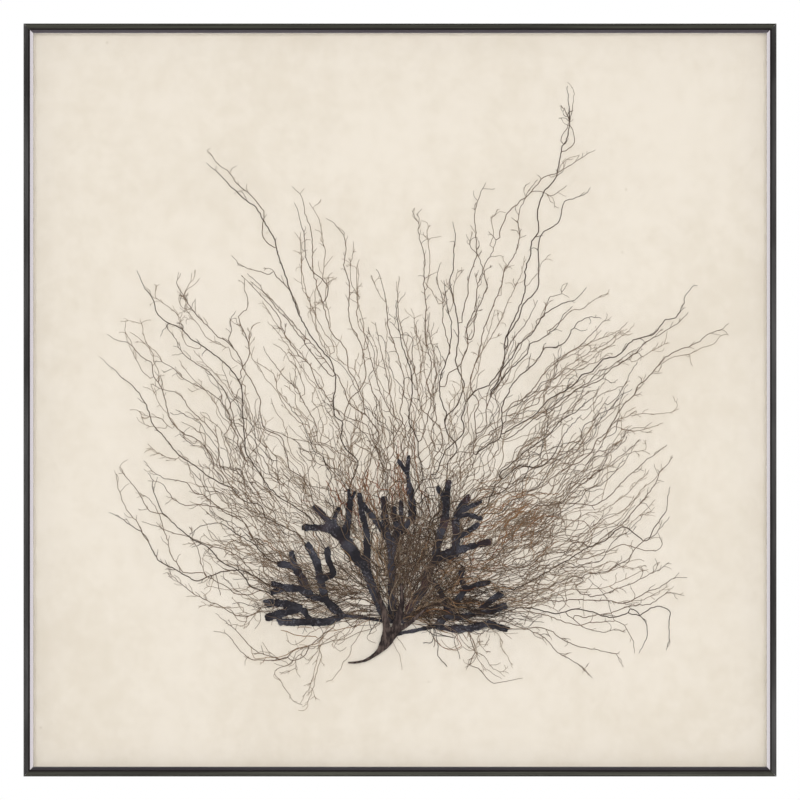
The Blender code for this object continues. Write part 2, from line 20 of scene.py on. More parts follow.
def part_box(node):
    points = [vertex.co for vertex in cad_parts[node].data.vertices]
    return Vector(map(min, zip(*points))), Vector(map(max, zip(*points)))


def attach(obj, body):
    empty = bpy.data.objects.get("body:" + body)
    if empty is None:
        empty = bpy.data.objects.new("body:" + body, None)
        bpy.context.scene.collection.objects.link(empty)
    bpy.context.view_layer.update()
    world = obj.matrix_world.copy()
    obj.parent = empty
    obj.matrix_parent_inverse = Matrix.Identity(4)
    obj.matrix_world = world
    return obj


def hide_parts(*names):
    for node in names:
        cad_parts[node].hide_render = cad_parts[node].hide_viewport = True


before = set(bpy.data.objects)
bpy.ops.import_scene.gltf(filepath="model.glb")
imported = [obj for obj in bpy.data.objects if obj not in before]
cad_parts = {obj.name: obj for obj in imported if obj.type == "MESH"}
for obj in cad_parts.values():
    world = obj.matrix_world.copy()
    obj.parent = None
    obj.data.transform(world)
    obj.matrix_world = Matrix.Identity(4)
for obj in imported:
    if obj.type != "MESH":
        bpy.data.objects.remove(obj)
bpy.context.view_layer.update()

MM = 0.001
STEP = 0.81 * MM
SHEET_MIDDLE = 400
BODY = "root"
LOG = logging.getLogger("sea_fan")

Point = tuple[float, float]
Colour = tuple[float, float, float]
Branch = tuple[list[Point], float, list]


def front_of(node: str) -> float:
    """The Y of a node's front face."""
    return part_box(node)[0].y


def back_of(node: str) -> float:
    """The Y of a node's back face."""
    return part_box(node)[1].y


OUTER_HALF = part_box("rail_top")[1].z
FRONT_Y = front_of("rail_top")
PAPER_Y = front_of("paper_sheet")


def on_sheet(place: Point, height: float) -> Vector:
    """Turn a place on the sheet into a point of the frame.

    Args:
        place: The place, in steps across and down.
        height: The distance in front of the sheet.

    Returns:
        The point, in metres.
    """
    return Vector(((place[0] - SHEET_MIDDLE) * STEP, PAPER_Y - height, (SHEET_MIDDLE - place[1]) * STEP))


class Wire:
    """A shader value that takes part in Python arithmetic, which adds the Math nodes for it."""

    def __init__(self, recipe: "Recipe", socket: bpy.types.NodeSocket) -> None:
        """Wrap a socket of a recipe's node tree."""
        self.recipe = recipe
        self.socket = socket

    def _math(self, operation: str, *values: "Wire | float") -> "Wire":
        """Add a Math node.

        Args:
            operation: Blender's name for the operation.
            values: The node's inputs, in order.

        Returns:
            The node's value.
        """
        return self.recipe.node("ShaderNodeMath", {"operation": operation}, dict(enumerate(values)))

    def __add__(self, other: "Wire | float") -> "Wire":
        """This value plus another."""
        return self._math("ADD", self, other)

    __radd__ = __add__

    def __sub__(self, other: "Wire | float") -> "Wire":
        """This value less another."""
        return self._math("SUBTRACT", self, other)

    def __rsub__(self, other: float) -> "Wire":
        """A number less this value."""
        return self._math("SUBTRACT", other, self)

    def __mul__(self, other: "Wire | float") -> "Wire":
        """This value times another."""
        return self._math("MULTIPLY", self, other)

    __rmul__ = __mul__

    def step(self, low: float, high: float) -> "Wire":
        """Rise smoothly from 0 at low to 1 at high."""
        settings = {"interpolation_type": "SMOOTHSTEP"}
        inputs = {"Value": self, "From Min": low, "From Max": high}
        return self.recipe.node("ShaderNodeMapRange", settings, inputs)


class Recipe:
    """A material under construction, whose nodes all come from one method."""

    def __init__(self, name: str) -> None:
        """Start a material with an empty Principled surface."""
        self.material = bpy.data.materials.new(name)
        self.material.use_nodes = True
        self.tree = self.material.node_tree
        self.surface = self.tree.nodes["Principled BSDF"]

    def node(
        self, kind: str, settings: dict | None = None, inputs: dict | None = None, out: str | int = 0
    ) -> Wire:
        """Add one node.

        Args:
            kind: The node's type.
            settings: Attributes to set first; a "stops" entry fills the node's colour ramp.
            inputs: Values or wires, by the socket's name or number.
            out: The name or number of the socket to give back.

        Returns:
            A wire from that socket.
        """
        made = self.tree.nodes.new(kind)
        for name, value in (settings or {}).items():
            if name == "stops":
                self._fill_ramp(made.color_ramp, value)
            else:
                setattr(made, name, value)
        for name, value in (inputs or {}).items():
            self.plug(made.inputs[name], value)
        return Wire(self, made.outputs[out])

    def plug(self, socket: bpy.types.NodeSocket, value: "Wire | float | Sequence[float]") -> None:
        """Link a wire to a socket, or set the socket's value."""
        if isinstance(value, Wire):
            self.tree.links.new(value.socket, socket)
        elif isinstance(value, tuple) and len(value) == 3 and socket.type == "RGBA":
            socket.default_value = (*value, 1)
        else:
            socket.default_value = value

    @staticmethod
    def _fill_ramp(ramp: bpy.types.ColorRamp, stops: Sequence[tuple[float, Colour]]) -> None:
        """Set a colour ramp's stops."""
        while len(ramp.elements) < len(stops):
            ramp.elements.new(1.0)
        for element, (position, colour) in zip(ramp.elements, stops):
            element.position = position
            element.color = (*colour, 1)

    def place(self, scale: Sequence[float] = (1, 1, 1), turn: Sequence[float] = (0, 0, 0)) -> Wire:
        """The piece's own coordinates in metres, scaled and turned."""
        position = self.node("ShaderNodeTexCoord", out="Object")
        inputs = {"Vector": position, "Scale": scale, "Rotation": turn}
        return self.node("ShaderNodeMapping", None, inputs)

    def uv(self, scale: Sequence[float]) -> Wire:
        """The piece's UV map, scaled."""
        position = self.node("ShaderNodeTexCoord", out="UV")
        return self.node("ShaderNodeMapping", None, {"Vector": position, "Scale": scale})

    def noise(self, where: Wire, scale: float, detail: float = 3, rough: float = 0.55) -> Wire:
        """Soft noise between 0 and 1."""
        inputs = {"Vector": where, "Scale": scale, "Detail": detail, "Roughness": rough}
        return self.node("ShaderNodeTexNoise", None, inputs, "Fac")

    def cells(self, where: Wire, scale: float, out: str = "Distance") -> Wire:
        """Distances or colours of scattered cells."""
        return self.node("ShaderNodeTexVoronoi", None, {"Vector": where, "Scale": scale}, out)

    def attribute(self, name: str) -> Wire:
        """A number stored on the mesh."""
        return self.node("ShaderNodeAttribute", {"attribute_name": name}, None, "Fac")

    def ramp(self, value: Wire, stops: Sequence[tuple[float, Colour]]) -> Wire:
        """A colour for each value, along stops."""
        return self.node("ShaderNodeValToRGB", {"stops": stops}, {"Fac": value}, "Color")

    def mix(self, share: "Wire | float", first: "Wire | Colour", second: "Wire | Colour") -> Wire:
        """Blend two colours."""
        inputs = {"Factor": share, 6: first, 7: second}
        return self.node("ShaderNodeMix", {"data_type": "RGBA"}, inputs, 2)

    def bump(self, height: Wire, depth: float, strength: float = 1.0) -> Wire:
        """A normal for a height pattern of this depth."""
        inputs = {"Height": height, "Distance": depth, "Strength": strength}
        return self.node("ShaderNodeBump", None, inputs, "Normal")

    def finish(self, **sockets: "Wire | float | Sequence[float]") -> bpy.types.Material:
        """Set the surface's sockets and hand the material over.

        Args:
            sockets: Values or wires, by socket name with underscores for spaces.

        Returns:
            The material.
        """
        for name, value in sockets.items():
            self.plug(self.surface.inputs[name.replace("_", " ")], value)
        return self.material


@dataclass(frozen=True)
class RailMetal:
    """Dark polished metal with fine streaks along each rail, painted shade darkening the face's outer and
    inner edges, a brighter bevel and a painted highlight on the bevel's rounded inner end.

    Places across the rail are counted along its section, from the outer corner of the face.
    """

    dark: Colour = (0.012, 0.010, 0.009)
    light: Colour = (0.085, 0.083, 0.080)
    bevel: Colour = (0.170, 0.158, 0.165)
    # Colour of the painted shade that darkens the face towards its outer and inner edges.
    line: Colour = (0.008, 0.005, 0.004)
    # Colour of the painted highlight on the bevel's rounded inner end, where the lip's edge would catch the
    # light.
    lip_highlight: Colour = (0.24, 0.23, 0.22)
    scratch: Colour = (0.2, 0.2, 0.19)
    cloud: Colour = (0.19, 0.18, 0.19)
    # Bands across the section where painted shade darkens the face's outer and inner edges.
    outer_edge_shade: Point = (0.3 * MM, 0.9 * MM)
    inner_edge_shade: Point = (3.5 * MM, 4.0 * MM)
    bevel_start: Point = (5.2 * MM, 5.3 * MM)
    # Band of the painted highlight on the bevel's rounded inner end.
    lip_highlight_start: Point = (8.1 * MM, 8.2 * MM)
    lip_highlight_end: Point = (9.3 * MM, 9.5 * MM)
    bevel_end: Point = (9.4 * MM, 9.6 * MM)
    streaks: float = 0.5

    def material(self, name: str) -> bpy.types.Material:
        """Build the material; the UV map runs along the rail and inwards from its outer side."""
        recipe = Recipe(name)
        split = recipe.node("ShaderNodeSeparateXYZ", None, {0: recipe.uv((1, 1, 1))}, 1)
        on_bevel = split.step(*self.bevel_start) * (1 - split.step(*self.bevel_end))
        long_streaks = recipe.noise(recipe.uv((7, 900, 1)), 1.0, 4)
        fine_lines = recipe.noise(recipe.uv((60, 9000, 1)), 1.0, 2)
        clouds = recipe.noise(recipe.uv((9, 60, 1)), 1.0, 3)
        tone = long_streaks * self.streaks + clouds * (1 - self.streaks)
        face = recipe.mix(tone.step(0.25, 0.72), self.dark, self.light)
        # Painted shade: the face is darkened towards its inner and outer edges, where the rounded face would
        # turn away from the light.
        inner_edge_shade = split.step(*self.inner_edge_shade)
        outer_edge_shade = 1 - split.step(*self.outer_edge_shade)
        face = recipe.mix(inner_edge_shade * (0.8 + long_streaks * 0.4), face, self.line)
        face = recipe.mix(outer_edge_shade * 0.55, face, self.line)
        worn = recipe.mix(fine_lines.step(0.70, 0.85) * 0.35, face, self.scratch)
        bright = recipe.mix(clouds.step(0.3, 0.7) * 0.25, self.bevel, self.cloud)
        # Painted highlight: a bright band on the bevel's rounded inner end that stands in for the lip's
        # reflection.
        lip_highlight = split.step(*self.lip_highlight_start) * (1 - split.step(*self.lip_highlight_end))
        bright = recipe.mix(lip_highlight, bright, self.lip_highlight)
        return recipe.finish(
            Base_Color=recipe.mix(on_bevel, worn, bright),
            Metallic=on_bevel * 0.5 + 0.45,
            Roughness=on_bevel * -0.22 + clouds * 0.08 + 0.36,
            Normal=recipe.bump(fine_lines, 0.01 * MM, 0.25),
        )


@dataclass(frozen=True)
class ClearPane:
    """Clear polished glass that only mirrors a little, more at a slant."""

    colour: Colour = (0.92, 0.95, 0.94)
    roughness: float = 0.02
    bend: float = 1.45
    strength: float = 0.6

    def material(self, name: str) -> bpy.types.Material:
        """Build the material."""
        recipe = Recipe(name)
        mirror = recipe.node("ShaderNodeFresnel", None, {"IOR": self.bend})
        return recipe.finish(
            Base_Color=self.colour,
            Metallic=1.0,
            Roughness=self.roughness,
            Alpha=mirror * self.strength,
        )


@dataclass(frozen=True)
class AgedPaper:
    """Cream sheet with soft mottling, faint fibres, a few specks and dull streaks towards its right edge."""

    cream: Colour = (0.838, 0.772, 0.682)
    shade: Colour = (0.778, 0.708, 0.608)
    stain: Colour = (0.700, 0.650, 0.530)
    speck: Colour = (0.52, 0.44, 0.33)
    fibre: Colour = (0.90, 0.86, 0.78)
    stained_from: Point = (0.22, 0.30)
    speck_scale: float = 38.0

    def material(self, name: str) -> bpy.types.Material:
        """Build the material."""
        recipe = Recipe(name)
        here = recipe.place()
        clouds = recipe.noise(here, 7, 4)
        mottle = recipe.noise(here, 60, 4, 0.65)
        grain = recipe.noise(here, 1400, 2)
        fibres = recipe.noise(recipe.place((900, 900, 150), (0, 0.5, 0)), 1.0, 2)
        tone = clouds * 0.5 + mottle * 0.5
        colour = recipe.mix(tone.step(0.38, 0.66), self.cream, self.shade)
        right = recipe.node("ShaderNodeSeparateXYZ", None, {0: here}, 0).step(*self.stained_from)
        streaks = recipe.noise(recipe.place((60, 60, 9)), 1.0, 4).step(0.52, 0.75)
        colour = recipe.mix(right * streaks * 0.22, colour, self.stain)
        specks = 1 - recipe.cells(here, self.speck_scale).step(0.035, 0.06)
        shades = recipe.cells(here, self.speck_scale, "Color")
        chosen = recipe.node("ShaderNodeSeparateColor", None, {0: shades}).step(0.80, 0.86)
        colour = recipe.mix(specks * chosen * 0.28, colour, self.speck)
        colour = recipe.mix(fibres.step(0.68, 0.8) * 0.10, colour, self.fibre)
        return recipe.finish(
            Base_Color=colour,
            Roughness=grain * 0.1 + 0.85,
            Specular_IOR_Level=0.2,
            Normal=recipe.bump(grain + fibres, 0.05 * MM, 0.35),
        )


@dataclass(frozen=True)
class ThreadSkin:
    """Dried thread-like branches: taupe brown, with darker, ochre and red-brown ones."""

    tints: tuple[tuple[float, Colour], ...] = (
        (0.00, (0.024, 0.015, 0.012)),
        (0.20, (0.080, 0.052, 0.036)),
        (0.40, (0.190, 0.130, 0.088)),
        (0.55, (0.300, 0.215, 0.148)),
        (0.70, (0.400, 0.310, 0.220)),
        (0.80, (0.330, 0.190, 0.090)),
        (0.90, (0.290, 0.115, 0.052)),
        (1.00, (0.240, 0.060, 0.036)),
    )
    roughness: float = 0.72

    def material(self, name: str) -> bpy.types.Material:
        """Build the material; each thread's tint is stored on its mesh."""
        recipe = Recipe(name)
        here = recipe.place()
        drift = recipe.noise(here, 260, 2)
        colour = recipe.ramp(recipe.attribute("tint") + (drift - 0.5) * 0.12, self.tints)
        rings = recipe.noise(here, 1500, 2)
        return recipe.finish(
            Base_Color=colour,
            Roughness=rings * 0.2 + (self.roughness - 0.1),
            Specular_IOR_Level=0.3,
            Normal=recipe.bump(rings, 0.05 * MM, 0.5),
        )


@dataclass(frozen=True)
class FrondSkin:
    """Dried dark blade: blue-black, wrinkled, with pale salt specks and bluish patches of painted sheen."""

    dark: Colour = (0.012, 0.010, 0.014)
    painted_sheen: Colour = (0.044, 0.043, 0.056)
    tinge: Colour = (0.055, 0.026, 0.024)
    tinge_share: float = 0.35
    salt: Colour = (0.22, 0.21, 0.24)

    def material(self, name: str) -> bpy.types.Material:
        """Build the material."""
        recipe = Recipe(name)
        here = recipe.place()
        clouds = recipe.noise(here, 70, 4)
        warm = recipe.noise(recipe.place((1, 1, 1), (0.7, 0, 0.4)), 45, 3)
        # Painted sheen: lighter bluish patches in the colour, where the blade is also glossier.
        colour = recipe.mix(clouds.step(0.44, 0.66), self.dark, self.painted_sheen)
        colour = recipe.mix(warm.step(0.5, 0.7) * self.tinge_share, colour, self.tinge)
        grains = recipe.noise(here, 620, 3, 0.7)
        field_of_specks = recipe.noise(here, 90, 3)
        specks = grains.step(0.54, 0.64) * field_of_specks.step(0.42, 0.60)
        colour = recipe.mix(specks * 0.55, colour, self.salt)
        wrinkles = recipe.noise(here, 600, 4, 0.7)
        return recipe.finish(
            Base_Color=colour,
            Roughness=0.72 - clouds * 0.3,
            Specular_IOR_Level=0.35,
            Normal=recipe.bump(wrinkles + grains * 0.5, 0.25 * MM, 0.8),
        )


@dataclass(frozen=True)
class StemBark:
    """Dark purple-brown stem with long ridges and lighter blotches."""

    dark: Colour = (0.018, 0.011, 0.011)
    light: Colour = (0.115, 0.082, 0.070)

    def material(self, name: str) -> bpy.types.Material:
        """Build the material."""
        recipe = Recipe(name)
        ridges = recipe.noise(recipe.place((700, 300, 160), (0, -0.5, 0)), 1.0, 4, 0.65)
        blotches = recipe.noise(recipe.place(), 120, 3)
        tone = ridges * 0.6 + blotches * 0.4
        colour = recipe.mix(tone.step(0.44, 0.62), self.dark, self.light)
        return recipe.finish(
            Base_Color=colour,
            Roughness=0.8 - blotches * 0.2,
            Specular_IOR_Level=0.3,
            Normal=recipe.bump(ridges, 0.2 * MM, 0.8),
        )


@dataclass(frozen=True)
class PressedBoard:
    """Board of pressed fibres, brown or nearly white."""

    dark: Colour = (0.150, 0.090, 0.050)
    light: Colour = (0.270, 0.175, 0.105)

    def material(self, name: str) -> bpy.types.Material:
        """Build the material."""
        recipe = Recipe(name)
        fibres = recipe.noise(recipe.place((500, 500, 1400), (0, 0.3, 0)), 1.0, 4, 0.7)
        flecks = recipe.noise(recipe.place(), 900, 3, 0.7)
        clouds = recipe.noise(recipe.place(), 9, 3)
        tone = fibres * 0.4 + flecks * 0.35 + clouds * 0.25
        colour = recipe.mix(tone.step(0.4, 0.62), self.dark, self.light)
        return recipe.finish(
            Base_Color=colour,
            Roughness=0.85 - flecks * 0.15,
            Specular_IOR_Level=0.25,
            Normal=recipe.bump(fibres + flecks, 0.1 * MM, 0.5),
        )


@dataclass(frozen=True)
class PlatedSteel:
    """Steel with faint rolling lines and a few dull patches."""

    colour: Colour = (0.52, 0.53, 0.55)
    dull: Colour = (0.36, 0.37, 0.40)
    roughness: float = 0.32

    def material(self, name: str) -> bpy.types.Material:
        """Build the material."""
        recipe = Recipe(name)
        lines = recipe.noise(recipe.place((60, 3000, 3000)), 1.0, 2)
        patches = recipe.noise(recipe.place(), 220, 3)
        return recipe.finish(
            Base_Color=recipe.mix(patches.step(0.4, 0.7), self.colour, self.dull),
            Metallic=1.0,
            Roughness=patches * 0.2 + lines * 0.1 + (self.roughness - 0.15),
            Normal=recipe.bump(lines, 0.02 * MM, 0.3),
        )


def show_piece(piece: bpy.types.Object, nodes: Sequence[str]) -> None:
    """Ride a finished piece on the body, and let it stand for its nodes.

    Args:
        piece: The finished piece, placed in its mesh.
        nodes: The nodes that it stands for.
    """
    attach(piece, BODY)
    if nodes:
        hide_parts(*nodes)
    LOG.info("%s: %d faces", piece.name, len(piece.data.polygons))


def new_object(name: str, mesh: bpy.types.Mesh, material: bpy.types.Material) -> bpy.types.Object:
    """Put a mesh in the scene with its only material."""
    item = bpy.data.objects.new(name, mesh)
    bpy.context.scene.collection.objects.link(item)
    mesh.materials.clear()
    mesh.materials.append(material)
    return item


def settle(item: bpy.types.Object) -> None:
    """Swap an object's mesh for the one that its modifiers make, and drop the modifiers."""
    evaluated = item.evaluated_get(bpy.context.evaluated_depsgraph_get())
    mesh = bpy.data.meshes.new_from_object(evaluated)
    item.modifiers.clear()
    item.data = mesh


def dress_node(node: str, material: bpy.types.Material) -> None:
    """Give a carried-over node its finished material."""
    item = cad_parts[node]
    if not item.material_slots:
        item.data.materials.append(material)
    for held in item.material_slots:
        held.material = material
    LOG.info("%s: dressed", node)


@dataclass
class Rails:
    """Four mitred lengths of the frame's metal section."""

    # Lit and shaded copies of one metal: the upright rails' bevel is painted lighter and the level rails'
    # darker, as painted light and shade, and the level rails' painted lip highlight is brighter.
    finish_upright: RailMetal = RailMetal(light=(0.080, 0.078, 0.077), streaks=0.25)
    finish_level: RailMetal = RailMetal(
        light=(0.082, 0.082, 0.062), bevel=(0.105, 0.092, 0.104), lip_highlight=(0.7, 0.68, 0.66), streaks=0.8
    )
    face_points: int = 9
    edge: float = 0.14 * MM
    face_end: float = 5.25 * MM
    face_crown: float = 0.16 * MM
    groove_depth: float = 0.38 * MM
    mitre_gap: float = 0.03 * MM
    groove_width: float = 0.04 * MM
    crease: float = math.radians(28)
    back_and_lip: tuple[Point, ...] = (
        (7.55, 2.05), (7.72, 2.20), (7.80, 2.42), (7.80, 3.30), (7.70, 3.40), (6.60, 3.40), (5.00, 1.70),
        (1.50, 1.70), (1.50, 19.20), (8.35, 19.20), (8.50, 19.35), (8.50, 24.80), (8.30, 25.00),
        (6.05, 25.00), (5.90, 24.85), (5.90, 23.80), (7.30, 23.80), (7.30, 20.40), (1.50, 20.40),
        (1.50, 23.80), (2.90, 23.80), (2.90, 24.85), (2.75, 25.00), (0.30, 25.00), (0.09, 24.91),
        (0.00, 24.70), (0.00, 0.40), (0.03, 0.24),
    )

    def section(self) -> list[Point]:
        """The rail's section, as (inwards, back) points, with its visible corners rounded."""
        front = []
        for number in range(self.face_points):
            share = number / (self.face_points - 1)
            dip = self.face_crown * abs(2 * share - 1) ** 3
            front.append((self.edge + (self.face_end - self.edge) * share, dip))
        groove = [(self.face_end + self.groove_width, self.groove_depth)]
        return front + groove + [(inwards * MM, depth * MM) for inwards, depth in self.back_and_lip]

    def mesh(self, name: str, turn: int) -> bpy.types.Mesh:
        """One rail, turned about the frame's middle.

        Args:
            name: The mesh's name.
            turn: Quarter turns clockwise from the top, seen from the front.

        Returns:
            The closed mesh, with a UV map along and across the rail.
        """
        section = self.section()
        cage = bmesh.new()
        uv = cage.loops.layers.uv.new("UVMap")
        rings = []
        for end in (-1, 1):
            ring = []
            for inwards, depth in section:
                along = end * (OUTER_HALF - inwards - self.mitre_gap)
                place = Vector((along, FRONT_Y + depth, OUTER_HALF - inwards))
                angle = turn * math.pi / 2
                turned = (
                    place.x * math.cos(angle) + place.z * math.sin(angle),
                    place.y,
                    place.z * math.cos(angle) - place.x * math.sin(angle),
                )
                ring.append(cage.verts.new(turned))
            rings.append(ring)
        lengths = [0.0]
        for before, after in zip(section, section[1:] + section[:1]):
            lengths.append(lengths[-1] + math.dist(before, after))
        for number in range(len(section)):
            after = (number + 1) % len(section)
            corners = [rings[0][number], rings[1][number], rings[1][after], rings[0][after]]
            face = cage.faces.new(corners)
            across = (lengths[number], lengths[number], lengths[number + 1], lengths[number + 1])
            ends = (-OUTER_HALF, OUTER_HALF, OUTER_HALF, -OUTER_HALF)
            for loop, along, up in zip(face.loops, ends, across):
                loop[uv].uv = (along + turn, up)
        caps = [cage.faces.new(rings[0][::-1]), cage.faces.new(rings[1])]
        bmesh.ops.triangulate(cage, faces=caps)
        bmesh.ops.recalc_face_normals(cage, faces=cage.faces)
        mesh = bpy.data.meshes.new(name)
        cage.to_mesh(mesh)
        cage.free()
        mesh.shade_smooth()
        mesh.set_sharp_from_angle(angle=self.crease)
        return mesh

    def build(self) -> None:
        """Make and dress the four rails."""
        level = self.finish_level.material("rail_metal_level")
        upright = self.finish_upright.material("rail_metal_upright")
        for turn, side in enumerate(("top", "right", "bottom", "left")):
            name = "rail_" + side
            material = upright if turn % 2 else level
            piece = new_object(name + "_metal", self.mesh(name, turn), material)
            show_piece(piece, [name])


@dataclass
class Pack:
    """What the rails hold: the pane, the spacer bars, the sheet and its backing board."""

    def build(self) -> None:
        """Dress the carried-over sheets and bars."""
        dress_node("glazing", ClearPane().material("clear_pane"))
        dress_node("paper_sheet", AgedPaper().material("aged_paper"))
        dress_node("backing_board", PressedBoard().material("brown_board"))
        pale = PressedBoard(dark=(0.78, 0.75, 0.68), light=(0.86, 0.83, 0.76)).material("pale_board")
        for side in ("top", "right", "bottom", "left"):
            dress_node("spacer_" + side, pale)


@dataclass
class Fixings:
    """Keys, springs and hanger behind the board."""

    def build(self) -> None:
        """Dress the fixings."""
        zinc = PlatedSteel().material("zinc_plated_steel")
        spring = PlatedSteel((0.20, 0.21, 0.24), (0.12, 0.12, 0.14), 0.3).material("blued_spring_steel")
        for number in range(1, 5):
            dress_node(f"corner_key_{number}", zinc)
        for number in range(1, 9):
            dress_node(f"spring_clip_{number}", spring)
        dress_node("hanger_plate", zinc)


class Look(Enum):
    """How a traced thread looks: its tint, its thickness and how twiggy it is."""

    FINE = (0.55, 0.68, 1.0)
    PLAIN = (0.40, 0.95, 0.75)
    DARK = (0.20, 1.2, 0.3)
    OCHRE = (0.74, 0.8, 0.5)
    RED = (0.90, 0.8, 0.4)

    @property
    def tint(self) -> float:
        """Place on the thread ramp, from dark brown to red-brown."""
        return self.value[0]

    @property
    def thickness(self) -> float:
        """Thickness against a plain thread's."""
        return self.value[1]

    @property
    def twigs(self) -> float:
        """Share of the usual number of twigs."""
        return self.value[2]


